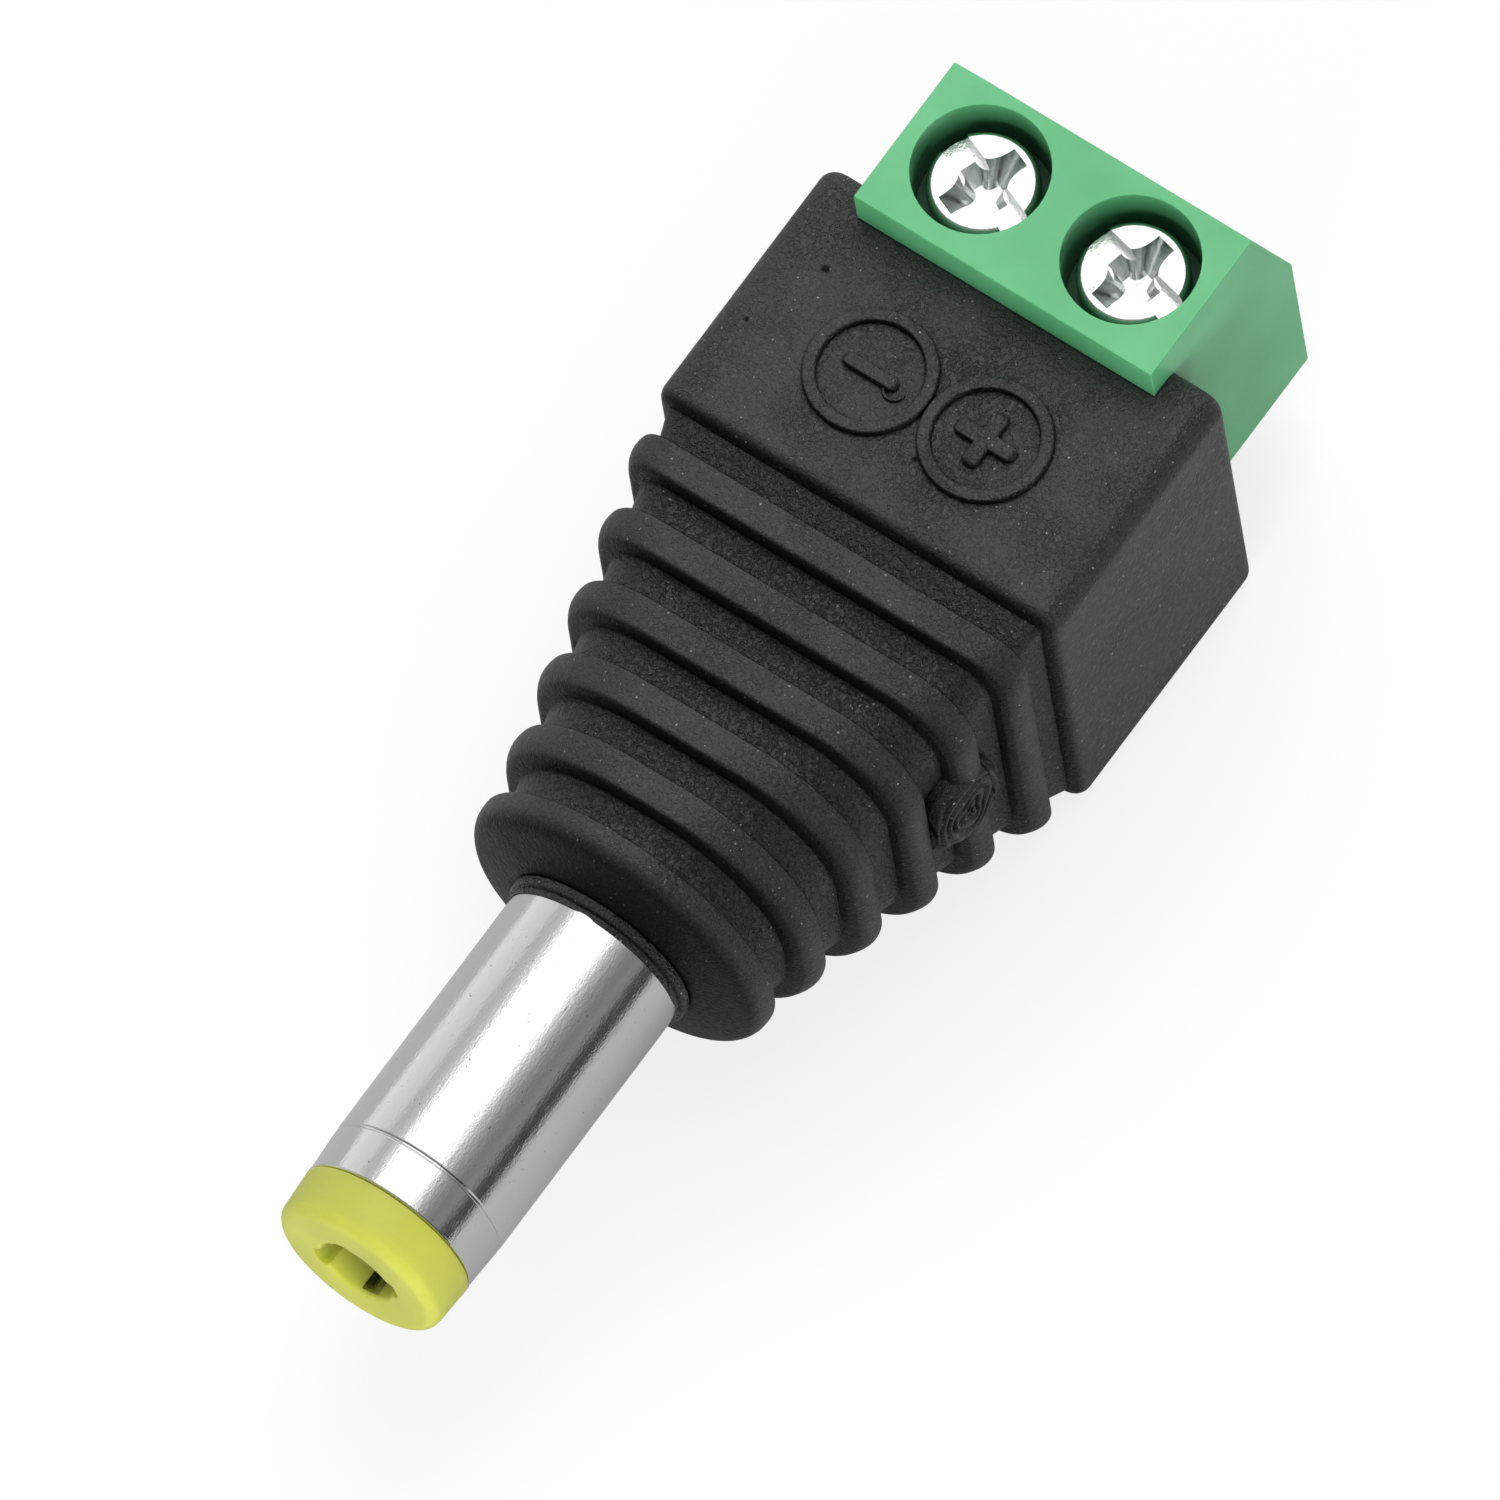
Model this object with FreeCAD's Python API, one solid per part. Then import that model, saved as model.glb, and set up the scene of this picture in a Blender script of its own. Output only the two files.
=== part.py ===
import FreeCAD, Part
import math
import os

from FreeCAD import Rotation, Vector

# A barrel plug for low-voltage direct current. Two bare wires enter the green terminal block at its
# rear, and each is clamped by a cage that rises when the screw above it is turned. The block, the
# leads and the rear of the plug are held in one moulding of soft black plastic.
#
# Lengths are in millimetres. +X points out of the tip, +Z up through the screw heads, and +Y to the
# plus side. The origin is under the middle of the plug, on the surface that it rests on.

# Driving dimensions

# Barrel and its yellow tip
BARREL_DIAMETER = 5.5
BARREL_LENGTH = 9.7
BARREL_WALL = 0.4
SCORE_SETBACK = 1.45
SCORE_WIDTH = 0.14
SCORE_DEPTH = 0.06
LIP_BEVEL = 0.07
TIP_DIAMETER = 5.32
TIP_LENGTH = 1.55
TIP_DRAFT = 0.02
TIP_EDGE = 0.4
TIP_EDGE_FACETS = 2
MOUTH_DIAMETER = 2.3
MOUTH_DRAFT = 0.04
MOUTH_FLARE = 0.12
LOBE_WIDTH = 0.8
LOBE_REACH = 1.42
LOBE_EDGE = 0.24
LOBE_TILT = 14.0

# Centre contact, a split tube with two arms that reach into the mouth
SOCKET_DIAMETER = 2.2
SOCKET_WALL = 0.4
SOCKET_SPLIT = 0.5
SOCKET_SPLIT_LENGTH = 5.0
SOCKET_SETBACK = 0.85
SOCKET_BURIED = 1.0
ARM_WIDTH = 0.55
ARM_THICKNESS = 0.2
ARM_ANGLE = 107.0
ARM_SETBACK = 0.12
ARM_CLEARANCE = 0.05
SHANK_DIAMETER = 1.6
TAIL_WIDTH = 1.2
TAIL_THICKNESS = 0.45
TAIL_LENGTH = 2.6

# Rear of the plug, inside the moulding
SLEEVE_BURIED = 4.2
SLEEVE_REAR_DIAMETER = 5.1
LUG_DIAMETER = 6.6
LUG_THICKNESS = 0.4
LUG_DEPTH = 1.65
LUG_TAB_WIDTH = 1.4
LUG_TAB_LENGTH = 4.6
BUSH_OVERHANG = 0.8

# Black moulding: ribs
RIB_COUNT = 6
RIB_PITCH = 2.06
RIB_WIDTH = 1.05
RIB_HEIGHT = 0.6
RIB_EDGE = 0.24
NECK_LENGTH = 0.92
FIRST_RIB_WIDTH = 13.2
FIRST_RIB_HEIGHT = 11.2
FIRST_RIB_CORNER = 1.0
LAST_RIB_RADIUS = 4.83
LAST_RIB_ROUNDNESS = 0.98
LAST_RIB_EDGE = 0.8
LAST_RIB_FACETS = 2
COLLAR_LENGTH = 0.55
COLLAR_THICKNESS = 0.17
END_CAP_LENGTH = 0.28
END_CAP_FRONT_RADIUS = 3.15

# Black moulding: box
BOX_LENGTH = 8.3
BOX_WIDTH = 13.3
BOX_HEIGHT = 11.3
BOX_EDGE = 0.7
BOX_END_EDGE = 0.25
AXIS_HEIGHT = 5.95

# Green terminal block
BLOCK_LENGTH = 6.2
BLOCK_WIDTH = 9.9
BLOCK_HEIGHT = 10.0
BLOCK_INSET = 1.0
BLOCK_LIFT = 2.65
BLOCK_BEVEL_LENGTH = 1.4
BLOCK_BEVEL_HEIGHT = 4.0
TERMINAL_PITCH = 5.0
WELL_DIAMETER = 3.9
WELL_SETBACK = 3.65
PARTITION = 0.8
CAGE_CLEARANCE = 0.05
ENTRY_FLARE = 0.25
FLOOR = 0.9

# Clamp screw
HEAD_DIAMETER = 3.15
HEAD_HEIGHT = 1.5
HEAD_DEPTH = 0.8
HEAD_BEVEL = 0.16
THREAD_DIAMETER = 2.5
THREAD_PITCH = 0.45
THREAD_CLEARANCE = 0.03
SLOT_WIDTH = 0.85
SLOT_DEPTH = 0.42
RECESS_REACH = 1.25
RECESS_ARM = 0.62
RECESS_FLANK = 0.39
RECESS_DEPTH = 1.15
RECESS_TAPER = 0.42
MINUS_SLOT_ANGLE = 68.6
PLUS_SLOT_ANGLE = 77.2

# Wire cage and contact bar
CAGE_TRAVEL = 1.8
CAGE_LENGTH = 3.2
CAGE_WIDTH = 3.6
CAGE_WALL = 0.5
CAGE_TOP = 1.0
CAGE_FLOOR = 0.6
TONGUE_WIDTH = 2.4
TONGUE_THICKNESS = 0.6
TONGUE_CLEARANCE = 0.05
PIN_WIDTH = 1.0
PIN_LENGTH = 4.0

# Leads inside the moulding
LEAD_COPPER = 0.8
LEAD_JACKET = 1.5

# Places that follow from the driving dimensions

TAPER_LENGTH = NECK_LENGTH + (RIB_COUNT - 1) * RIB_PITCH + RIB_WIDTH + END_CAP_LENGTH + COLLAR_LENGTH
TOTAL_LENGTH = BLOCK_LENGTH - BLOCK_INSET + BOX_LENGTH + TAPER_LENGTH + BARREL_LENGTH + TIP_LENGTH
REAR_X = -TOTAL_LENGTH / 2
BLOCK_FRONT_X = REAR_X + BLOCK_LENGTH
BOX_REAR_X = BLOCK_FRONT_X - BLOCK_INSET
BOX_FRONT_X = BOX_REAR_X + BOX_LENGTH
BODY_END_X = BOX_FRONT_X + TAPER_LENGTH
BARREL_END_X = BODY_END_X + BARREL_LENGTH
TIP_X = BARREL_END_X + TIP_LENGTH
SCREW_X = REAR_X + WELL_SETBACK

BLOCK_TOP_Z = BLOCK_LIFT + BLOCK_HEIGHT
HEAD_TOP_Z = BLOCK_TOP_Z - HEAD_DEPTH
SEAT_Z = HEAD_TOP_Z - HEAD_HEIGHT
CEILING_Z = SEAT_Z - PARTITION
POCKET_FLOOR_Z = BLOCK_LIFT + FLOOR
CAGE_TOP_Z = CEILING_Z - CAGE_CLEARANCE - CAGE_TRAVEL
CAGE_BOTTOM_Z = POCKET_FLOOR_Z + CAGE_CLEARANCE
TONGUE_TOP_Z = CAGE_TOP_Z - CAGE_TOP - TONGUE_CLEARANCE
TONGUE_Z = TONGUE_TOP_Z - TONGUE_THICKNESS / 2
POCKET_WIDTH = CAGE_WIDTH + 2 * CAGE_CLEARANCE
POCKET_FRONT_X = SCREW_X + CAGE_LENGTH / 2 + CAGE_CLEARANCE

BARREL_RADIUS = BARREL_DIAMETER / 2
SLEEVE_BORE_RADIUS = BARREL_RADIUS - BARREL_WALL
SLEEVE_REAR_X = BODY_END_X - SLEEVE_BURIED
LUG_FRONT_X = BODY_END_X - LUG_DEPTH
SLEEVE_REAR_RADIUS = SLEEVE_REAR_DIAMETER / 2
SOCKET_RADIUS = SOCKET_DIAMETER / 2
SOCKET_OUTER_RADIUS = SOCKET_RADIUS + SOCKET_WALL
SOCKET_FRONT_X = TIP_X - SOCKET_SETBACK
SOCKET_REAR_X = BODY_END_X - SOCKET_BURIED
SOCKET_FLOOR_X = SOCKET_REAR_X - SOCKET_WALL
BUSH_REAR_X = SLEEVE_REAR_X - BUSH_OVERHANG
TAIL_REAR_X = BUSH_REAR_X - TAIL_LENGTH
LUG_REAR_X = LUG_FRONT_X - LUG_THICKNESS - LUG_TAB_LENGTH
PIN_FRONT_X = BLOCK_FRONT_X + PIN_LENGTH

SIDES = (
    ("negative", -1, MINUS_SLOT_ANGLE),
    ("positive", 1, PLUS_SLOT_ANGLE),
)


def box(x0, x1, y0, y1, z0, z1):
    """A block between two corners."""
    return Part.makeBox(x1 - x0, y1 - y0, z1 - z0, Vector(x0, y0, z0))


def turned(profile):
    """A solid of revolution round the barrel's axis, from (x, radius) points."""
    points = [Vector(x, 0, AXIS_HEIGHT + radius) for x, radius in profile]
    face = Part.Face(Part.makePolygon(points + points[:1]))
    return face.revolve(Vector(0, 0, AXIS_HEIGHT), Vector(1, 0, 0), 360)


def rod(x0, x1, radius):
    """A round bar along the barrel's axis."""
    return Part.makeCylinder(radius, x1 - x0, Vector(x0, 0, AXIS_HEIGHT), Vector(1, 0, 0))


def tube(x0, x1, outer, inner):
    return rod(x0, x1, outer).cut(rod(x0, x1, inner))


def drum(x, y, z0, z1, radius):
    """An upright round bar."""
    return Part.makeCylinder(radius, z1 - z0, Vector(x, y, z0))


def about_axis(shape, degrees):
    """The shape turned round the barrel's axis."""
    turned_shape = shape.copy()
    turned_shape.rotate(Vector(0, 0, AXIS_HEIGHT), Vector(1, 0, 0), degrees)
    return turned_shape


def edges_along(shape, axis):
    """The straight edges that run along one axis."""
    found = []
    for edge in shape.Edges:
        if isinstance(edge.Curve, Part.Line) and abs(edge.Curve.Direction.dot(axis)) > 0.999:
            found.append(edge)
    return found


def rounded_outline(x, half_width, half_height, corner, middle_z):
    """A closed rounded rectangle across the plug at x."""
    y, z, r = half_width, half_height, corner
    k = r * (1 - math.sqrt(0.5))

    def at(across, up):
        return Vector(x, across, middle_z + up)

    edges = []
    for sy, sz in ((1, 1), (-1, 1), (-1, -1), (1, -1)):
        start, end = at(sy * y, sz * (z - r)), at(sy * (y - r), sz * z)
        middle = at(sy * (y - k), sz * (z - k))
        if sy != sz:
            start, end = end, start
        edges.append(Part.Arc(start, middle, end).toShape())
    joined = []
    for here, after in zip(edges, edges[1:] + edges[:1]):
        joined += [here, Part.makeLine(here.Vertexes[-1].Point, after.Vertexes[0].Point)]
    return Part.Wire(joined)


def between(first, last, share):
    """The value at a share of the way from the first to the last."""
    return first + (last - first) * share


def rib_size(index, inset=0.0):
    """Half width, half height, corner and middle of the outline at a rib, from the box to the barrel."""
    share = index / (RIB_COUNT - 1)
    width = between(FIRST_RIB_WIDTH / 2, LAST_RIB_RADIUS, share)
    height = between(FIRST_RIB_HEIGHT / 2, LAST_RIB_RADIUS, share)
    corner = between(FIRST_RIB_CORNER, LAST_RIB_ROUNDNESS * LAST_RIB_RADIUS, share)
    middle = between(FIRST_RIB_HEIGHT / 2, AXIS_HEIGHT, share)
    return width - inset, height - inset, corner - inset, middle


def edge_steps(radius, facets):
    """Steps (along, inset) from an end face to a side, over an edge rounded in a few facets."""
    angles = [math.pi / 2 * i / facets for i in range(facets + 1)]
    return [(radius * (1 - math.cos(a)), radius * (1 - math.sin(a))) for a in angles]


def bar_steps(length, edge, front_edge, front_facets):
    """Steps (along, inset) along a bar with a bevelled rear edge and a rounded front edge."""
    fall = [(length - along, inset) for along, inset in reversed(edge_steps(front_edge, front_facets))]
    return edge_steps(edge, 1) + fall


def rib(index):
    """One ridge. The last one goes over into a shallow end cap by a larger radius."""
    x = BOX_FRONT_X + NECK_LENGTH + index * RIB_PITCH
    steps = bar_steps(RIB_WIDTH, RIB_EDGE, RIB_EDGE, 1)
    if index == RIB_COUNT - 1:
        steps = bar_steps(RIB_WIDTH, RIB_EDGE, LAST_RIB_EDGE, LAST_RIB_FACETS)
        steps.append((RIB_WIDTH + END_CAP_LENGTH, LAST_RIB_RADIUS - END_CAP_FRONT_RADIUS))
    outlines = [rounded_outline(x + along, *rib_size(index, inset)) for along, inset in steps]
    return Part.makeLoft(outlines, True, True)


def neck(index):
    """The core between the middle of the ridge before and the middle of this one."""
    rib_middle = BOX_FRONT_X + NECK_LENGTH + index * RIB_PITCH + RIB_WIDTH / 2
    start = max(rib_middle - RIB_PITCH, BOX_FRONT_X - BOX_END_EDGE)
    outline = rounded_outline(start, *rib_size(max(index - 0.5, 0), RIB_HEIGHT))
    return Part.Face(outline).extrude(Vector(rib_middle - start, 0, 0))


def body_blank():
    """The outside of the moulding, still solid."""
    half_width, half_height = BOX_WIDTH / 2, BOX_HEIGHT / 2
    outlines = []
    for along, inset in bar_steps(BOX_LENGTH, BOX_END_EDGE, BOX_END_EDGE, 1):
        size = (half_width - inset, half_height - inset, BOX_EDGE - inset)
        outlines.append(rounded_outline(BOX_REAR_X + along, *size, half_height))
    shell = Part.makeLoft(outlines, True, True)
    ridges = [rib(i) for i in range(RIB_COUNT)]
    cores = [neck(i) for i in range(RIB_COUNT)]
    collar = rod(BODY_END_X - 2 * COLLAR_LENGTH, BODY_END_X, BARREL_RADIUS + COLLAR_THICKNESS)
    return shell.multiFuse([collar] + cores + ridges).removeSplitter()


def moulded_body(held):
    """The moulding, with a cavity that fits every piece that it holds."""
    blank = body_blank()
    block_space = box(
        REAR_X, BLOCK_FRONT_X, -BLOCK_WIDTH / 2, BLOCK_WIDTH / 2, BLOCK_LIFT, BLOCK_TOP_Z
    )
    return blank.cut(block_space).cut(Part.makeCompound(held))


def terminal_housing():
    """The green block: wells above, cage pockets open to the rear, a bevelled rear edge."""
    y = BLOCK_WIDTH / 2
    profile = [
        Vector(REAR_X, -y, BLOCK_LIFT),
        Vector(BLOCK_FRONT_X, -y, BLOCK_LIFT),
        Vector(BLOCK_FRONT_X, -y, BLOCK_TOP_Z),
        Vector(REAR_X + BLOCK_BEVEL_LENGTH, -y, BLOCK_TOP_Z),
        Vector(REAR_X, -y, BLOCK_TOP_Z - BLOCK_BEVEL_HEIGHT),
    ]
    block = Part.Face(Part.makePolygon(profile + profile[:1])).extrude(Vector(0, BLOCK_WIDTH, 0))
    for _, side, _ in SIDES:
        block = block.cut(terminal_space(side * TERMINAL_PITCH / 2))
    return block


def terminal_space(y):
    """What one terminal leaves open in the block."""
    half = POCKET_WIDTH / 2
    rear_wall_x = SCREW_X - CAGE_LENGTH / 2 - CAGE_CLEARANCE
    window_top = CAGE_TOP_Z + CAGE_CLEARANCE
    shaft = box(rear_wall_x, POCKET_FRONT_X, y - half, y + half, POCKET_FLOOR_Z, CEILING_Z)
    window = box(REAR_X, rear_wall_x, y - half, y + half, POCKET_FLOOR_Z, window_top)
    well = drum(SCREW_X, y, SEAT_Z, BLOCK_TOP_Z, WELL_DIAMETER / 2)
    hole = drum(SCREW_X, y, CEILING_Z, SEAT_Z, THREAD_DIAMETER / 2 + CAGE_CLEARANCE)
    return shaft.multiFuse([window, well, hole, entry_flare(y, half, window_top), tongue_slot(y)])


def entry_flare(y, half, window_top):
    """The funnel that guides a wire into the window."""
    outlines = []
    for x, grow in ((REAR_X, ENTRY_FLARE), (REAR_X + ENTRY_FLARE, 0)):
        low, high = POCKET_FLOOR_Z - grow, window_top + grow
        corners = [
            Vector(x, y - half - grow, low),
            Vector(x, y + half + grow, low),
            Vector(x, y + half + grow, high),
            Vector(x, y - half - grow, high),
        ]
        outlines.append(Part.makePolygon(corners + corners[:1]))
    return Part.makeLoft(outlines, True, True)


def tongue_slot(y):
    """The slit in the block's front wall that holds the contact bar."""
    half = TONGUE_WIDTH / 2
    low = TONGUE_TOP_Z - TONGUE_THICKNESS
    return box(POCKET_FRONT_X, BLOCK_FRONT_X, y - half, y + half, low, TONGUE_TOP_Z)


def recess_outline(z, scale):
    """The cross recess at one depth: four arms with bent flanks between them."""
    reach, half = RECESS_REACH * scale, RECESS_ARM * scale / 2
    flank = RECESS_FLANK * scale
    edges = []
    for quarter in range(4):
        turn = Rotation(Vector(0, 0, 1), 90 * quarter)

        def at(across, along):
            return turn.multVec(Vector(across, along, 0)) + Vector(0, 0, z)

        edges.append(Part.makeLine(at(reach, -half), at(reach, half)))
        edges.append(Part.makeLine(at(reach, half), at(flank, flank)))
        edges.append(Part.makeLine(at(flank, flank), at(half, reach)))
    return Part.Wire(edges)


def clamp_screw(y, slot_angle):
    """A combined slot and cross head on a plain shank as wide as its thread."""
    end_z = TONGUE_TOP_Z + TONGUE_CLEARANCE
    head = drum(0, 0, SEAT_Z, HEAD_TOP_Z, HEAD_DIAMETER / 2)
    rim = [e for e in head.Edges if e.BoundBox.ZMin > HEAD_TOP_Z - 1e-6]
    head = head.makeChamfer(HEAD_BEVEL, rim)
    shank = drum(0, 0, end_z, SEAT_Z, THREAD_DIAMETER / 2)
    screw = head.fuse(shank)
    reach = HEAD_DIAMETER
    slot = box(-reach, reach, -SLOT_WIDTH / 2, SLOT_WIDTH / 2, HEAD_TOP_Z - SLOT_DEPTH, HEAD_TOP_Z)
    outlines = [recess_outline(HEAD_TOP_Z, 1), recess_outline(HEAD_TOP_Z - RECESS_DEPTH, RECESS_TAPER)]
    screw = screw.cut(slot).cut(Part.makeLoft(outlines, True, True))
    screw.rotate(Vector(), Vector(0, 0, 1), slot_angle)
    screw.translate(Vector(SCREW_X, y, 0))
    return screw


def wire_cage(y):
    """The folded frame that the screw lifts, at its lowest place."""
    x0, x1 = SCREW_X - CAGE_LENGTH / 2, SCREW_X + CAGE_LENGTH / 2
    half = CAGE_WIDTH / 2
    inside = half - CAGE_WALL
    cage = box(x0, x1, y - half, y + half, CAGE_BOTTOM_Z, CAGE_TOP_Z)
    cage = cage.makeChamfer(CAGE_WALL / 2, edges_along(cage, Vector(1, 0, 0)))
    throat = box(
        x0, x1, y - inside, y + inside, CAGE_BOTTOM_Z + CAGE_FLOOR, CAGE_TOP_Z - CAGE_TOP
    )
    thread = drum(
        SCREW_X, y, CAGE_TOP_Z - CAGE_TOP, CAGE_TOP_Z, THREAD_DIAMETER / 2 + THREAD_CLEARANCE
    )
    return cage.cut(throat).cut(thread)


def contact_bar(y):
    """The tongue that a wire is pressed against, and the pin that its lead is soldered to."""
    low = TONGUE_TOP_Z - TONGUE_THICKNESS
    rear_x = SCREW_X - CAGE_LENGTH / 2
    wide, narrow = TONGUE_WIDTH / 2, PIN_WIDTH / 2
    tongue = box(rear_x, BLOCK_FRONT_X, y - wide, y + wide, low, TONGUE_TOP_Z)
    pin = box(BLOCK_FRONT_X, PIN_FRONT_X, y - narrow, y + narrow, low, TONGUE_TOP_Z)
    return tongue.fuse(pin)


def barrel_sleeve():
    """The plated tube, narrower inside the moulding, with a scored ring near its front."""
    score_x = BARREL_END_X - SCORE_SETBACK
    outer, inner = BARREL_RADIUS, SLEEVE_BORE_RADIUS
    return turned([
        (SLEEVE_REAR_X, inner),
        (SLEEVE_REAR_X, SLEEVE_REAR_RADIUS),
        (BODY_END_X, SLEEVE_REAR_RADIUS),
        (BODY_END_X, outer),
        (score_x - SCORE_WIDTH / 2, outer),
        (score_x, outer - SCORE_DEPTH),
        (score_x + SCORE_WIDTH / 2, outer),
        (BARREL_END_X - LIP_BEVEL, outer),
        (BARREL_END_X, outer - LIP_BEVEL),
        (BARREL_END_X, inner),
    ])


def tip_insulator():
    """The yellow liner of the sleeve, whose head closes its front round the mouth."""
    radius = TIP_DIAMETER / 2 - TIP_DRAFT
    rim = [(TIP_X - along, radius - inset) for along, inset in edge_steps(TIP_EDGE, TIP_EDGE_FACETS)]
    head = turned([(TIP_X, 0)] + rim + [(BARREL_END_X, TIP_DIAMETER / 2), (BARREL_END_X, 0)])
    liner = rod(SOCKET_FLOOR_X, BARREL_END_X, SLEEVE_BORE_RADIUS)
    mouth = turned([
        (SOCKET_FRONT_X, 0),
        (SOCKET_FRONT_X, MOUTH_DIAMETER / 2 - MOUTH_DRAFT),
        (TIP_X - MOUTH_FLARE, MOUTH_DIAMETER / 2),
        (TIP_X, MOUTH_DIAMETER / 2 + MOUTH_FLARE),
        (TIP_X, 0),
    ])
    chamber = rod(SOCKET_FLOOR_X, SOCKET_FRONT_X, SOCKET_OUTER_RADIUS)
    half = LOBE_WIDTH / 2
    low, high = AXIS_HEIGHT - half, AXIS_HEIGHT + half
    lobes = box(SOCKET_FRONT_X, TIP_X, -LOBE_REACH, LOBE_REACH, low, high)
    lobes = lobes.makeChamfer(LOBE_EDGE, edges_along(lobes, Vector(1, 0, 0)))
    open_space = mouth.multiFuse([chamber, about_axis(lobes, LOBE_TILT), arm_space()])
    return head.fuse(liner).cut(open_space)


def arm_space():
    """The two grooves in the mouth's wall that the contact's arms lie in."""
    half = ARM_WIDTH / 2 + ARM_CLEARANCE
    reach = SOCKET_RADIUS + ARM_THICKNESS + ARM_CLEARANCE
    groove = box(SOCKET_FRONT_X, TIP_X, -reach, reach, AXIS_HEIGHT - half, AXIS_HEIGHT + half)
    return about_axis(groove.common(rod(SOCKET_FRONT_X, TIP_X, reach)), ARM_ANGLE)


def centre_contact():
    """The split socket for the jack's centre pin, with its two arms, shank and solder tail."""
    wall = tube(SOCKET_REAR_X, SOCKET_FRONT_X, SOCKET_OUTER_RADIUS, SOCKET_RADIUS)
    split_x = SOCKET_FRONT_X - SOCKET_SPLIT_LENGTH
    reach, half = SOCKET_OUTER_RADIUS, SOCKET_SPLIT / 2
    split = box(split_x, SOCKET_FRONT_X, -reach, reach, AXIS_HEIGHT - half, AXIS_HEIGHT + half)
    arm_front_x = TIP_X - ARM_SETBACK
    sleeve = tube(split_x, arm_front_x, SOCKET_RADIUS + ARM_THICKNESS, SOCKET_RADIUS)
    half = ARM_WIDTH / 2
    strip = box(split_x, arm_front_x, -reach, reach, AXIS_HEIGHT - half, AXIS_HEIGHT + half)
    arms = about_axis(sleeve.common(strip), ARM_ANGLE)
    bottom = rod(SOCKET_FLOOR_X, SOCKET_REAR_X, SOCKET_OUTER_RADIUS)
    shank = rod(BUSH_REAR_X, SOCKET_REAR_X, SHANK_DIAMETER / 2)
    low, high = AXIS_HEIGHT - TAIL_THICKNESS / 2, AXIS_HEIGHT + TAIL_THICKNESS / 2
    tail = box(TAIL_REAR_X, BUSH_REAR_X, -TAIL_WIDTH / 2, TAIL_WIDTH / 2, low, high)
    socket = wall.cut(about_axis(split, LOBE_TILT))
    return socket.multiFuse([arms, bottom, shank, tail]).removeSplitter()


def rear_bush():
    """The insulator between the sleeve's rear and the contact's shank."""
    return tube(BUSH_REAR_X, SOCKET_FLOOR_X, SLEEVE_BORE_RADIUS, SHANK_DIAMETER / 2)


def sleeve_lug():
    """The soldering ring on the sleeve's rear, with its tab bent back on the minus side."""
    rear_x = LUG_FRONT_X - LUG_THICKNESS
    ring = tube(rear_x, LUG_FRONT_X, LUG_DIAMETER / 2, SLEEVE_REAR_RADIUS)
    half = LUG_TAB_WIDTH / 2
    outer = -LUG_DIAMETER / 2
    tab = box(
        LUG_REAR_X, LUG_FRONT_X, outer, outer + LUG_THICKNESS, AXIS_HEIGHT - half, AXIS_HEIGHT + half
    )
    return ring.fuse(tab).removeSplitter()


def lead_path(side):
    """The middle line of one lead, from its contact bar's pin to the rear of the plug."""
    start = Vector(PIN_FRONT_X, side * TERMINAL_PITCH / 2, TONGUE_Z)
    if side > 0:
        end = Vector(TAIL_REAR_X, 0, AXIS_HEIGHT)
    else:
        end = Vector(LUG_REAR_X, -(LUG_DIAMETER - LUG_THICKNESS) / 2, AXIS_HEIGHT)
    along = (end - start).normalize()
    return start, end, along


def lead_pieces(side):
    """The copper of one lead and its jacket, both ending square to the plug."""
    start, end, along = lead_path(side)
    outer = LEAD_JACKET / 2
    length = (end - start).Length + 2 * outer
    rear = start - along * outer
    space = box(start.x, end.x, -BOX_WIDTH / 2, BOX_WIDTH / 2, 0, BOX_HEIGHT)
    copper = Part.makeCylinder(LEAD_COPPER / 2, length, rear, along)
    jacket = Part.makeCylinder(outer, length, rear, along)
    return copper.common(space), jacket.common(space).cut(copper)


def build():
    """Every piece of the plug, by name."""
    pieces = {
        "terminal_housing": terminal_housing(),
        "barrel_sleeve": barrel_sleeve(),
        "tip_insulator": tip_insulator(),
        "centre_contact": centre_contact(),
        "rear_bush": rear_bush(),
        "sleeve_lug": sleeve_lug(),
    }
    buried = ["barrel_sleeve", "centre_contact", "rear_bush", "sleeve_lug"]
    for name, side, slot_angle in SIDES:
        y = side * TERMINAL_PITCH / 2
        pieces["clamp_screw_" + name] = clamp_screw(y, slot_angle)
        pieces["wire_cage_" + name] = wire_cage(y)
        pieces["contact_bar_" + name] = contact_bar(y)
        copper, jacket = lead_pieces(side)
        pieces["lead_conductor_" + name] = copper
        pieces["lead_jacket_" + name] = jacket
        buried += [part + "_" + name for part in ("contact_bar", "lead_conductor", "lead_jacket")]
    core = rod(SOCKET_FLOOR_X, BODY_END_X, SLEEVE_BORE_RADIUS)
    pieces["moulded_body"] = moulded_body([pieces[name] for name in buried] + [core])
    return pieces


os.makedirs("parts", exist_ok=True)
for node, shape in build().items():
    if shape.ShapeType == "Compound" and len(shape.Solids) == 1:
        shape = shape.Solids[0]
    shape.exportStep("parts/" + node + ".step")
    size = shape.BoundBox
    print(f"{node}: {len(shape.Solids)} solid, {shape.Volume:.2f} mm3, valid {shape.isValid()}, "
          f"{size.XLength:.2f} x {size.YLength:.2f} x {size.ZLength:.2f} mm")
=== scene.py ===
# %% [markdown]
# # A barrel plug with two screw terminals
#
# The plug ends a low-voltage cable. Two bare wires go into the green block at the rear, a screw above
# each one lifts a small cage that clamps it, and a black soft moulding holds the block and a plated
# barrel. The solids come from the CAD part and stay where they are. This lesson gives them their
# finishes, and rebuilds the pieces whose edges and textures the camera sees from close by.

# %% Load the fixed frame
import math

import bmesh
import bpy
from mathutils import Matrix, Vector


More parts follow.
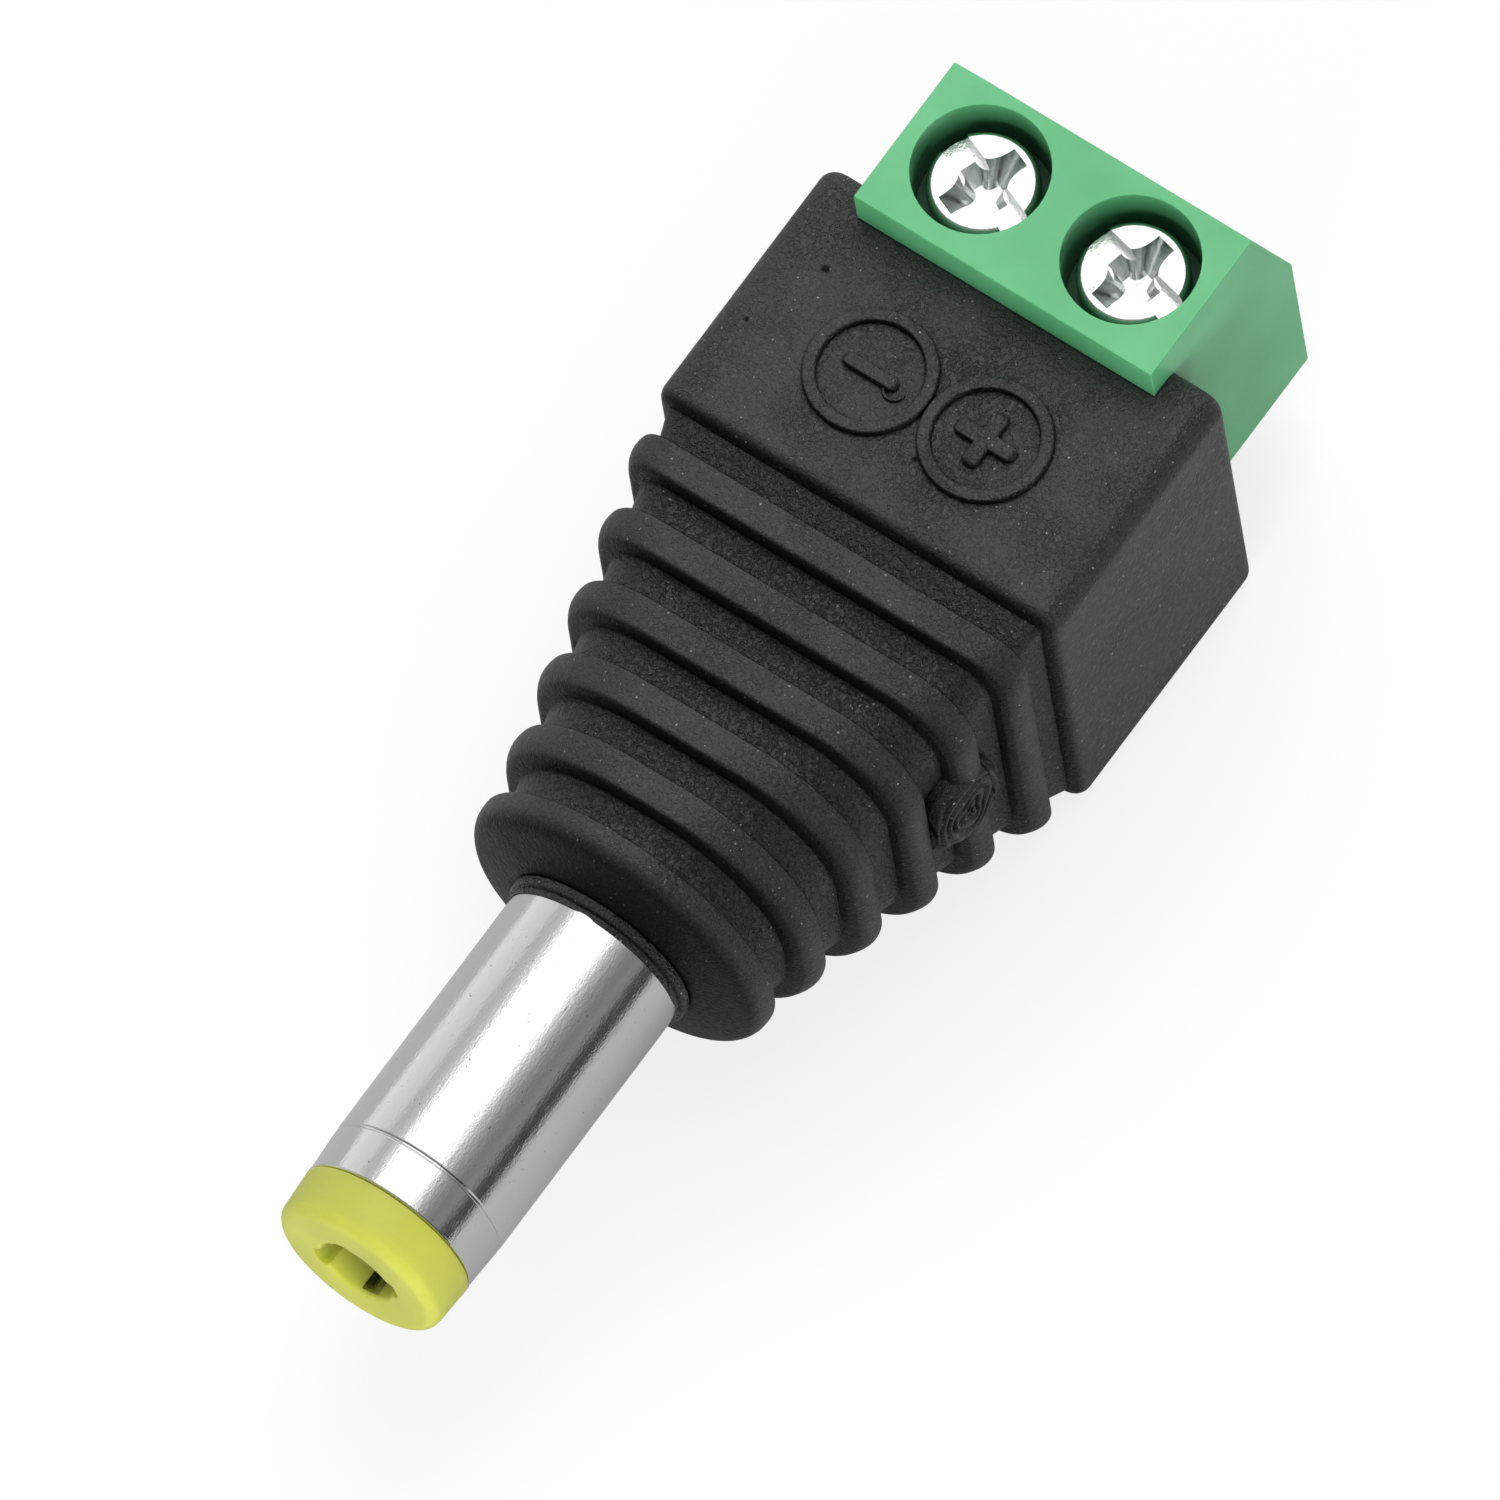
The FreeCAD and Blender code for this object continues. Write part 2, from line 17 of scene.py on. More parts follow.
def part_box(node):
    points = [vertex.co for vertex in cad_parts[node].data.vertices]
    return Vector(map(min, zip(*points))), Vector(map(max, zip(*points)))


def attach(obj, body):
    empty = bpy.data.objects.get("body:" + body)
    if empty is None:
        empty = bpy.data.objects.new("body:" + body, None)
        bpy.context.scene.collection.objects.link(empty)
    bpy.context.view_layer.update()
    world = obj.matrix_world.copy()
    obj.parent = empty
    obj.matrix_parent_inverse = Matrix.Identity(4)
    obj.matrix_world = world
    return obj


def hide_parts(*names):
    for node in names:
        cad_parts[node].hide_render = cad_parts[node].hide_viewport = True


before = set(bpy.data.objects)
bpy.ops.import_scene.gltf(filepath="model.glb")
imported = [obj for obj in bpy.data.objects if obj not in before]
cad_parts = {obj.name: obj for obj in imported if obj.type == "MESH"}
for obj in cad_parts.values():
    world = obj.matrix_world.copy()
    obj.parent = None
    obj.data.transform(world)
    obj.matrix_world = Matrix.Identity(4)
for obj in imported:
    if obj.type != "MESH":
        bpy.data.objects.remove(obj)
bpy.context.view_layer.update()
MM = 0.001

# %% [markdown]
# Every later size starts from the corners of the CAD pieces, so the scene follows the part when a
# size changes. The barrel's axis is the line that most of the plug is built round.

# %% Places read from the CAD pieces
body_low, body_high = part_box("moulded_body")
block_low, block_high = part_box("terminal_housing")
sleeve_low, sleeve_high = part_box("barrel_sleeve")
tip_low, tip_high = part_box("tip_insulator")
AXIS_HEIGHT = (sleeve_low.z + sleeve_high.z) / 2
BODY_END = body_high.x
BARREL_END = sleeve_high.x
BOX_TOP = body_high.z
print("axis height", round(AXIS_HEIGHT / MM, 3), "mm, body ends at x =", round(BODY_END / MM, 3), "mm")

# %% [markdown]
# The photograph was taken with a long lens from far away: edges that are parallel on the plug are
# parallel in the picture too. An orthographic camera gives just that. It stands on the plus side, in
# front of the tip and high above it, and is rolled a little, so that the plug lies along a diagonal.

# %% The camera at the photograph's angle
CAMERA_AZIMUTH = math.radians(133.94)
CAMERA_ELEVATION = math.radians(64.41)
CAMERA_ROLL = math.radians(-9.9)
VIEW_WIDTH = 40.816 * MM
CENTRE_ACROSS = 4.31 * MM
CENTRE_UP = 5.693 * MM
CAMERA_DISTANCE = 400 * MM

level = Vector((math.cos(CAMERA_AZIMUTH), math.sin(CAMERA_AZIMUTH), 0))
back = Vector((
    math.sin(CAMERA_AZIMUTH) * math.cos(CAMERA_ELEVATION),
    -math.cos(CAMERA_AZIMUTH) * math.cos(CAMERA_ELEVATION),
    math.sin(CAMERA_ELEVATION),
))
right = math.cos(CAMERA_ROLL) * level + math.sin(CAMERA_ROLL) * back.cross(level)
up = back.cross(right)
target = Vector((BODY_END, 0, AXIS_HEIGHT)) + CENTRE_ACROSS * right + CENTRE_UP * up

camera = bpy.data.objects.new("camera", bpy.data.cameras.new("camera"))
bpy.context.scene.collection.objects.link(camera)
camera.data.type = "ORTHO"
camera.data.ortho_scale = VIEW_WIDTH
camera.data.clip_start = 1 * MM
camera.data.clip_end = 4000 * MM
camera.matrix_world = Matrix.Translation(target + back * CAMERA_DISTANCE) @ Matrix(
    (right, up, back)
).transposed().to_4x4()
bpy.context.scene.camera = camera
print("camera at", [round(v / MM, 1) for v in camera.location], "mm, seeing", VIEW_WIDTH / MM, "mm")

# %% [markdown]
# A few helpers serve every material and every node tree. One turns an sRGB hex colour into the linear
# numbers that shaders work with. Another adds a node, sets its properties and fills its inputs, each
# with another node's output or with a plain value. The kinds of node that come up most get their own.

# %% Colours and nodes
MIX = "ShaderNodeMix"


def linear(hex_colour):
    """An sRGB hex colour as linear red, green, blue and alpha."""
    channels = [int(hex_colour[i:i + 2], 16) / 255 for i in (1, 3, 5)]
    return [c / 12.92 if c <= 0.04045 else ((c + 0.055) / 1.055) ** 2.4 for c in channels] + [1.0]


def add(tree, kind, inputs=None, out=0, **settings):
    """Adds a node and fills its inputs; returns one of its outputs, or with None the node itself."""
    node = tree.nodes.new(kind)
    for name, value in settings.items():
        setattr(node, name, value)
    for key, value in (inputs or {}).items():
        if isinstance(value, bpy.types.NodeSocket):
            tree.links.new(value, node.inputs[key])
        else:
            node.inputs[key].default_value = value
    return node if out is None else node.outputs[out]


def calc(tree, operation, *values, **settings):
    """A sum, product or other reckoning with one to three values."""
    return add(tree, "ShaderNodeMath", dict(enumerate(values)), operation=operation, **settings)


def mapped(tree, value, low, high, to_low=0.0, to_high=1.0, **settings):
    """A value moved from one range into another, and kept inside it."""
    ends = {"Value": value, "From Min": low, "From Max": high, "To Min": to_low, "To Max": to_high}
    return add(tree, "ShaderNodeMapRange", ends, **settings)


def noise(tree, place, size, detail, **values):
    """Noise whose largest forms have about the given size."""
    values.update(Vector=place, Scale=1 / size, Detail=detail)
    return add(tree, "ShaderNodeTexNoise", values, out="Fac")


def ramp(tree, factor, stops):
    """A colour ramp; each stop is a place and a linear colour."""
    node = add(tree, "ShaderNodeValToRGB", {"Fac": factor}, out=None)
    elements = node.color_ramp.elements
    while len(elements) < len(stops):
        elements.new(0.5)
    for element, (position, colour) in zip(elements, stops):
        element.position = position
        element.color = colour
    return node.outputs["Color"]


def start_material(name, **values):
    """A new material with plain values set; returns it, its tree, its shader and its coordinates."""
    material = bpy.data.materials.new(name)
    material.use_nodes = True
    tree = material.node_tree
    shader = tree.nodes["Principled BSDF"]
    for key, value in values.items():
        shader.inputs[key.replace("_", " ")].default_value = value
    place = add(tree, "ShaderNodeTexCoord", out="Object")
    return material, tree, shader, place


print("linear mid grey:", [round(c, 4) for c in linear("#808080")])

# %% [markdown]
# ## Soft PVC, injection moulded
#
# The body is plasticised PVC, moulded round the other pieces. Its crests and flat faces copy a finely
# blasted steel mould, a satin black with a grain of about a twentieth of a millimetre. In the valleys
# between the ribs, on their shoulders and in patches, the mould is coarser and the skin looks like
# leather. So one fine grain covers everything, and a coarse one is let in where the position along the
# plug falls in a valley, where the surface leans, or where a slow noise is high. Shade is painted into
# the colour as well: the ribs' front faces are darkened where they face forwards along the plug, a thin
# dark line is painted into the crevice behind each rib, and ambient occlusion darkens tight corners. A
# few pits from handling are placed one by one.

# %% Black PVC
RIB_PITCH = 2.06 * MM
RIB_WIDTH = 1.05 * MM
NECK_LENGTH = 0.92 * MM
RIB_COUNT = 6
BOX_FRONT = body_low.x + 8.3 * MM
FIRST_RIB = BOX_FRONT + NECK_LENGTH

GRAIN = 0.06 * MM
LEATHER = 0.16 * MM
PITS = (
    (-10.97, -4.77, BOX_TOP / MM, 0.17), (-8.56, -5.72, BOX_TOP / MM, 0.1),
    (-7.6, 0.55, BOX_TOP / MM, 0.12), (2.3, 1.9, 10.4, 0.1), (0.2, 3.1, 10.6, 0.12),
    (-3.3, -1.2, 10.4, 0.1),
)

black_pvc, tree, shader, place = start_material("soft PVC, moulded", IOR=1.5)
along = add(tree, "ShaderNodeSeparateXYZ", {0: place}, out="X")
turns = calc(tree, "ADD", along, -FIRST_RIB)
turns = calc(tree, "MULTIPLY", turns, 1 / RIB_PITCH)
phase = calc(tree, "FRACT", turns)
crest_share = RIB_WIDTH / RIB_PITCH
valley = mapped(tree, phase, crest_share - 0.01, crest_share + 0.03)
past_box = mapped(tree, turns, -NECK_LENGTH / RIB_PITCH - 0.02, -NECK_LENGTH / RIB_PITCH)
before_cap = mapped(tree, turns, RIB_COUNT - 1.0, RIB_COUNT - 0.9, 1.0, 0.0)
in_ribs = calc(tree, "MULTIPLY", past_box, before_cap)
valley = calc(tree, "MULTIPLY", valley, in_ribs)
in_valley = calc(tree, "MULTIPLY", valley, 0.7)
patches = noise(tree, place, 2.4 * MM, 2.0)
patches = mapped(tree, patches, 0.42, 0.75, 0.2, 0.75)
coarse = calc(tree, "MAXIMUM", patches, in_valley)
normal = add(tree, "ShaderNodeNewGeometry", out="Normal")
facing = add(tree, "ShaderNodeSeparateXYZ", {0: normal}, out=None).outputs
shoulder = calc(tree, "MULTIPLY", facing["Y"], facing["Z"])
shoulder = mapped(tree, shoulder, 0.1, 0.35, 0.0, 0.9)
coarse = calc(tree, "MAXIMUM", coarse, shoulder)
leather = noise(tree, place, LEATHER, 3.0, Roughness=0.55, Distortion=0.7)
folds = mapped(tree, leather, 0.36, 0.6, interpolation_type="SMOOTHSTEP")
folds = calc(tree, "MULTIPLY", folds, coarse)
grain = noise(tree, place, GRAIN, 2.0)
swell = noise(tree, place, 1.2 * MM, 3.0)
relief = normal
for height, strength, depth in ((swell, 0.5, 0.06), (folds, 1.0, 0.06), (grain, 1.0, 0.03)):
    relief = add(tree, "ShaderNodeBump", {
        "Height": height, "Normal": relief, "Strength": strength, "Distance": depth * MM,
    })
tree.links.new(relief, shader.inputs["Normal"])
tint = ramp(tree, grain, ((0.3, linear("#0E0E0E")), (0.7, linear("#2C2C2B"))))
shade = mapped(tree, leather, 0.26, 0.34, 0.4)
painted_shade_and_spots = [add(tree, MIX, {0: valley, 2: 1.0, 3: shade})]
# Painted shade: faces that turn forwards along the plug, the ribs' fronts, are darkened.
painted_shade_and_spots.append(mapped(tree, facing["X"], 0.3, 0.75, 1.0, 0.25))
# Painted shade: a thin dark line in the crevice behind each rib.
painted_crevice_line = calc(tree, "SUBTRACT", phase, 0.5)
painted_crevice_line = calc(tree, "ABSOLUTE", painted_crevice_line)
painted_crevice_line = mapped(tree, painted_crevice_line, 0.474, 0.486, 1.0, 0.15)
painted_shade_and_spots.append(add(tree, MIX, {0: in_ribs, 2: 1.0, 3: painted_crevice_line}))
for x, y, z, radius in PITS:
    away = add(tree, "ShaderNodeVectorMath", {
        0: place, 1: (x * MM, y * MM, z * MM),
    }, operation="DISTANCE", out="Value")
    away = calc(tree, "MULTIPLY_ADD", leather, -0.5 * radius * MM, away)
    painted_shade_and_spots.append(mapped(tree, away, 0.2 * radius * MM, 0.8 * radius * MM, 0.2))
# Painted shade: ambient occlusion darkens tight corners, and the shine below follows it.
openness_for_painted_shade = add(tree, "ShaderNodeAmbientOcclusion", {"Distance": 0.14 * MM}, samples=8, out="AO")
painted_shade_and_spots.append(mapped(tree, openness_for_painted_shade, 0.45, 0.8, 0.05))
shade = painted_shade_and_spots[0]
for factor in painted_shade_and_spots[1:]:
    shade = calc(tree, "MULTIPLY", shade, factor)
specks = noise(tree, place, 0.1 * MM, 0.0)
specks = mapped(tree, specks, 0.8, 0.86)
tint = add(tree, MIX, {
    0: specks, 6: tint, 7: linear("#8C8A86"),
}, data_type="RGBA", out=2)
tint = add(tree, MIX, {0: 1.0, 6: tint, 7: shade}, data_type="RGBA", blend_type="MULTIPLY", out=2)
tree.links.new(tint, shader.inputs["Base Color"])
shine = calc(tree, "MULTIPLY", shade, 0.75)
tree.links.new(shine, shader.inputs["Specular IOR Level"])
gloss = mapped(tree, leather, 0.3, 0.7, 0.3, 0.5)
at_collar = mapped(tree, along, BODY_END - 0.5 * MM, BODY_END - 0.45 * MM, 0.0, -0.2)
gloss = calc(tree, "ADD", gloss, at_collar)
tree.links.new(gloss, shader.inputs["Roughness"])
print("black PVC: grain", GRAIN / MM, "mm, leather", LEATHER / MM, "mm,", len(PITS), "pits")

# %% [markdown]
# ## Green polyamide and yellow acetal
#
# The terminal block is polyamide and the tip's liner acetal. Both are slightly translucent, so light
# goes a little way in and softens every edge: subsurface scattering over a few tenths of a millimetre
# does that. Their surfaces are smooth with a faint flow pattern, so the grain is weak.

# %% Coloured plastics
def coloured_plastic(name, dark, light, roughness, clearness, depth, grain_size, painted_well_shade=0.0):
    """A moulded plastic with faint flow marks, a little clear, and with shade painted into wells if
    given a reach.
    """
    material, tree, shader, place = start_material(
        name, Roughness=roughness, IOR=1.52, Subsurface_Weight=clearness, Subsurface_Scale=depth,
        Subsurface_Radius=(0.9, 1.0, 0.4),
    )
    flow = noise(tree, place, 3 * MM, 3.0)
    tint = ramp(tree, flow, ((0.3, linear(dark)), (0.7, linear(light))))
    # Painted shade: ambient occlusion darkens the colour inside wells over the given reach; with no
    # reach it is mixed out.
    shade = add(tree, "ShaderNodeAmbientOcclusion", {"Distance": painted_well_shade}, samples=8, out="AO")
    shade = mapped(tree, shade, 0.35, 0.85, 0.42)
    tint = add(tree, MIX, {
        0: 1.0 if painted_well_shade else 0.0, 6: tint, 7: shade,
    }, data_type="RGBA", blend_type="MULTIPLY", out=2)
    tree.links.new(tint, shader.inputs["Base Color"])
    fine = noise(tree, place, grain_size, 2.0)
    bump = add(tree, "ShaderNodeBump", {"Height": fine, "Strength": 0.15, "Distance": 0.02 * MM})
    tree.links.new(bump, shader.inputs["Normal"])
    return material


green_polyamide = coloured_plastic(
    "polyamide, moulded", "#58B177", "#66BD84", 0.36, 0.25, 0.3 * MM, 0.2 * MM, 3 * MM
)
yellow_acetal = coloured_plastic("acetal, moulded", "#B9BE4B", "#C6CA58", 0.4, 0.8, 0.9 * MM, 0.15 * MM)
white_acetal = coloured_plastic("acetal, natural", "#DEDDD6", "#E6E5DF", 0.4, 0.4, 0.4 * MM, 0.15 * MM)
print("plastics:", green_polyamide.name, "/", yellow_acetal.name, "/", white_acetal.name)

# %% [markdown]
# ## Plated metals
#
# The barrel is brass under bright nickel: a mirror with a soft haze, fine pits and faint lines where
# it was drawn through a die. The screws and cages are steel under clear zinc, which is whiter, and the
# stamped faces of the screws are uneven. A metal keeps the default index of refraction.

# %% Nickel, zinc, tin
def plated_metal(name, colour, dark, roughness, grain_size, depth, stretch, dull):
    """A plated metal: grain drawn out along X, dark pits, and cloudy patches that are duller."""
    material, tree, shader, place = start_material(name, Metallic=1.0)
    drawn = add(tree, "ShaderNodeMapping", {"Vector": place, "Scale": (1 / stretch, 1.0, 1.0)})
    grain = noise(tree, drawn, grain_size, 4.0, Roughness=0.6)
    cloud = noise(tree, place, 1.1 * MM, 4.0)
    fine = noise(tree, place, 0.12 * MM, 2.0)
    bump = add(tree, "ShaderNodeBump", {"Height": grain, "Strength": 1.0, "Distance": depth})
    sparkle = noise(tree, place, 0.055 * MM, 1.0)
    bump = add(tree, "ShaderNodeBump", {
        "Height": sparkle, "Normal": bump, "Strength": 1.0, "Distance": 0.003 * MM,
    })
    tree.links.new(bump, shader.inputs["Normal"])
    haze = mapped(tree, cloud, 0.35, 0.65, roughness, roughness + dull)
    tree.links.new(haze, shader.inputs["Roughness"])
    pits = mapped(tree, fine, 0.22, 0.3)
    tint = add(tree, MIX, {0: pits, 6: linear(dark), 7: linear(colour)}, data_type="RGBA", out=2)
    tree.links.new(tint, shader.inputs["Base Color"])
    return material


bright_nickel = plated_metal(
    "brass, bright nickel plate", "#E0E0E0", "#8B8A8B", 0.07, 0.1 * MM, 0.005 * MM, 3.0, 0.08
)
clear_zinc = plated_metal(
    "steel, clear zinc plate", "#E4E7E6", "#9AA19E", 0.12, 0.16 * MM, 0.008 * MM, 1.0, 0.1
)
tin = plated_metal("copper, tinned", "#CFCDC6", "#8F8C84", 0.28, 0.1 * MM, 0.006 * MM, 1.0, 0.15)
print("metals:", bright_nickel.name, "/", clear_zinc.name, "/", tin.name)

# %% [markdown]
# ## The moulded body
#
# The whole body follows one rule. Across the plug its outline is a rounded rectangle, and along the
# plug that rectangle shrinks and rounds until it is a circle at the last rib. So a Geometry Nodes tree
# can make the skin: it takes the contour of one rib, repeats it along the plug, and wraps it round
# with the outline that belongs to each place. The box and the end cap are the same rule with one copy
# and no taper. A contour runs along X, with Z as its height over the crest: 0 on the crest, negative
# below it. The corners may round off a little sooner than the sides draw in, and on the plug's flanks
# the ribs bulge: their crests are lowered towards both edges there.

# %% Contours along the plug
RIB_HEIGHT = 0.6 * MM
REAR_EDGE = 0.12 * MM
FRONT_EDGE = 0.17 * MM
DOME_EDGE = 0.75 * MM
RIB_FOOT = 0.05 * MM
BOX_EDGE = 0.45 * MM
ARC_STEPS = 6


def arc(centre_x, centre_z, radius, first, last, steps=ARC_STEPS):
    """Points on an arc in the plane of a contour; angles in degrees, 90 straight up."""
    angles = [math.radians(first + (last - first) * i / steps) for i in range(steps + 1)]
    return [(centre_x + radius * math.cos(a), centre_z + radius * math.sin(a)) for a in angles]


def crest(first, last, steps=6):
    """Points along a flat crest, between its two rounded edges."""
    return [(first + (last - first) * i / steps, 0.0) for i in range(1, steps)]


rib_contour = (
    arc(-RIB_FOOT, RIB_FOOT - RIB_HEIGHT, RIB_FOOT, -90, 0, 3)
    + arc(REAR_EDGE, -REAR_EDGE, REAR_EDGE, 180, 90)
    + crest(REAR_EDGE, RIB_WIDTH - FRONT_EDGE)
    + arc(RIB_WIDTH - FRONT_EDGE, -FRONT_EDGE, FRONT_EDGE, 90, 0)
    + arc(RIB_WIDTH + RIB_FOOT, RIB_FOOT - RIB_HEIGHT, RIB_FOOT, 180, 270, 3)
)
box_length = BOX_FRONT - body_low.x
box_contour = (
    arc(BOX_EDGE, -BOX_EDGE, BOX_EDGE, 180, 90) + arc(box_length - BOX_EDGE, -BOX_EDGE, BOX_EDGE, 90, 0)
)

LAST_RADIUS = 4.83 * MM
LAST_RIB = FIRST_RIB + (RIB_COUNT - 1) * RIB_PITCH
CAP_END = BODY_END - 0.55 * MM - LAST_RIB
COLLAR = (
    (0.0, 3.15), (0.02, 2.86), (0.06, 2.85), (0.08, 2.91), (0.3, 2.89), (0.36, 2.84), (0.38, 2.77),
    (0.55, 2.74),
)
dome_contour = (
    arc(-RIB_FOOT, RIB_FOOT - RIB_HEIGHT, RIB_FOOT, -90, 0, 3)
    + arc(REAR_EDGE, -REAR_EDGE, REAR_EDGE, 180, 90)
    + arc(RIB_WIDTH - DOME_EDGE, -DOME_EDGE, DOME_EDGE, 90, 12, 10)
    + [(CAP_END + x * MM, r * MM - LAST_RADIUS) for x, r in COLLAR]
)
print("points: one rib", len(rib_contour), "box", len(box_contour), "front end", len(dome_contour))

# %% Begin and end a tree
def begin_tree(name, **kinds):
    """A geometry tree with named inputs, each of a kind of socket; returns it and what it is given."""
    tree = bpy.data.node_groups.new(name, "GeometryNodeTree")
    for name, kind in kinds.items():
        name = name.replace("_", " ")
        tree.interface.new_socket(name, in_out="INPUT", socket_type="NodeSocket" + kind)
    tree.interface.new_socket("Result", in_out="OUTPUT", socket_type="NodeSocketGeometry")
    return tree, add(tree, "NodeGroupInput", out=None).outputs


def end_tree(tree, geometry, material):
    """Makes real geometry of any instances, gives it its material and hands it out."""
    real = add(tree, "GeometryNodeRealizeInstances", {0: geometry})
    real = add(tree, "GeometryNodeSetMaterial", {"Geometry": real, "Material": material})
    add(tree, "NodeGroupOutput", {"Result": real}, out=None)
    print("the tree", repr(tree.name), "has", len(tree.nodes), "nodes")


# %% The tree that wraps a contour round the plug
CORNER_STEPS = 20
RING = 4 * (CORNER_STEPS + 1)
WELD = 0.0005 * MM

skin, given = begin_tree(
    "wrap a contour round the plug", Contour="Geometry", Copies="Int", Pitch="Float", Start="Float",
    First_outline="Vector", Last_outline="Vector", First_middle="Float", Last_middle="Float",
    Rounding="Float", Bulge="Float", Crest="Float", Material="Material",
)

step_along = add(skin, "ShaderNodeCombineXYZ", {"X": given["Pitch"]})
start_point = add(skin, "ShaderNodeCombineXYZ", {"X": given["Start"]})
row = add(skin, "GeometryNodeMeshLine", {
    "Count": given["Copies"], "Start Location": start_point, "Offset": step_along,
}, mode="OFFSET")
copies = add(skin, "GeometryNodeInstanceOnPoints", {"Points": row, "Instance": given["Contour"]})
contour = add(skin, "GeometryNodeRealizeInstances", {0: copies})
stations = add(skin, "GeometryNodeAttributeDomainSize", {0: contour}, out="Point Count")
sheet = add(skin, "GeometryNodeMeshGrid", {"Vertices X": stations, "Vertices Y": RING + 1})

number = add(skin, "GeometryNodeInputIndex")
share = calc(skin, "DIVIDE", number, RING + 1)
station = calc(skin, "FLOOR", share)
around = calc(skin, "MODULO", number, RING + 1)
around = calc(skin, "MODULO", around, RING)
contour_place = add(skin, "GeometryNodeInputPosition")
found = add(skin, "GeometryNodeSampleIndex", {
    "Geometry": contour, "Value": contour_place, "Index": station,
}, data_type="FLOAT_VECTOR")
found = add(skin, "ShaderNodeSeparateXYZ", {0: found}, out=None).outputs

reach = calc(skin, "MULTIPLY", given["Copies"], given["Pitch"])
taper = calc(skin, "SUBTRACT", found["X"], given["Start"])
taper = calc(skin, "DIVIDE", taper, reach, use_clamp=True)
outline = add(skin, MIX, {
    0: taper, 4: given["First outline"], 5: given["Last outline"],
}, data_type="VECTOR", out=1)
quarter = calc(skin, "DIVIDE", around, CORNER_STEPS + 1)
quarter = calc(skin, "FLOOR", quarter)
within = calc(skin, "MODULO", around, CORNER_STEPS + 1)
within = calc(skin, "DIVIDE", within, CORNER_STEPS)
angle = calc(skin, "ADD", quarter, within)
angle = calc(skin, "MULTIPLY", angle, math.pi / 2)

sideways = calc(skin, "COSINE", angle)
sideways = calc(skin, "MULTIPLY", sideways, sideways)
on_crest = calc(skin, "SUBTRACT", found["X"], given["Start"])
on_crest = calc(skin, "FLOORED_MODULO", on_crest, given["Pitch"])
on_crest = mapped(skin, on_crest, 0.0, given["Crest"], -1.0, 1.0)
on_crest = calc(skin, "MULTIPLY", on_crest, on_crest)
above_foot = mapped(skin, found["Z"], -RIB_HEIGHT, 0.0)
bulge = on_crest
for factor in (sideways, above_foot, given["Bulge"]):
    bulge = calc(skin, "MULTIPLY", bulge, factor)
lowered = calc(skin, "SUBTRACT", found["Z"], bulge)
drop = add(skin, "ShaderNodeCombineXYZ", {"X": lowered, "Y": lowered, "Z": lowered})
outline = add(skin, "ShaderNodeVectorMath", {0: outline, 1: drop}, operation="ADD")
outline = add(skin, "ShaderNodeSeparateXYZ", {0: outline}, out=None).outputs
left = calc(skin, "SUBTRACT", 1.0, taper)
early = calc(skin, "MULTIPLY", taper, left)
corner = calc(skin, "MULTIPLY_ADD", early, given["Rounding"], outline["Z"])
corner = calc(skin, "MAXIMUM", corner, 0.2 * MM)

side = calc(skin, "ADD", quarter, 0.5)
side = calc(skin, "MULTIPLY", side, math.pi / 2)
sides = []
for turn, half in (("COSINE", outline["X"]), ("SINE", outline["Y"])):
    sign = calc(skin, turn, side)
    sign = calc(skin, "SIGN", sign)
    flat = calc(skin, "SUBTRACT", half, corner)
    flat = calc(skin, "MULTIPLY", flat, sign)
    bend = calc(skin, turn, angle)
    sides.append(calc(skin, "MULTIPLY_ADD", bend, corner, flat))
middle = add(skin, MIX, {0: taper, 2: given["First middle"], 3: given["Last middle"]})
height = calc(skin, "ADD", sides[1], middle)
place = add(skin, "ShaderNodeCombineXYZ", {"X": found["X"], "Y": sides[0], "Z": height})
wrapped = add(skin, "GeometryNodeSetPosition", {"Geometry": sheet, "Position": place})
wrapped = add(skin, "GeometryNodeMergeByDistance", {"Geometry": wrapped, "Distance": WELD})
end_tree(skin, wrapped, given["Material"])

# %% [markdown]
# A modifier's inputs are set by the identifier of each socket. The evaluated result becomes a plain
# mesh, and the modifier goes away with its carrier, so what is left is ordinary geometry.

# %% Run a tree on a base mesh
def new_object(name, mesh, finish=None):
    """An object at the origin, whose place is in its mesh."""
    made = bpy.data.objects.new(name, mesh)
    bpy.context.scene.collection.objects.link(made)
    if finish:
        mesh.materials.append(finish)
    return made


def grown(tree, points, links, name, factors=(), **values):
    """A mesh grown by a tree from points and edges, or faces; the factors are its attribute "end"."""
    base = bpy.data.meshes.new(name + " base")
    flat = all(len(link) == 2 for link in links)
    base.from_pydata(points, links if flat else [], [] if flat else links)
    if factors:
        base.attributes.new("end", "FLOAT", "POINT").data.foreach_set("value", factors)
    carrier = new_object(name + " base", base)
    modifier = carrier.modifiers.new("grow", "NODES")
    modifier.node_group = tree
    for item in tree.interface.items_tree:
        key = item.name.replace(" ", "_")
        if item.in_out == "INPUT" and key in values:
            modifier[item.identifier] = values[key]
    depsgraph = bpy.context.evaluated_depsgraph_get()
    mesh = bpy.data.meshes.new_from_object(carrier.evaluated_get(depsgraph))
    bpy.data.objects.remove(carrier)
    mesh.name = name
    return mesh


def along_plug(contour):
    """A contour's points and edges in the XZ plane."""
    return [(x, 0, z) for x, z in contour], [(i, i + 1) for i in range(len(contour) - 1)]


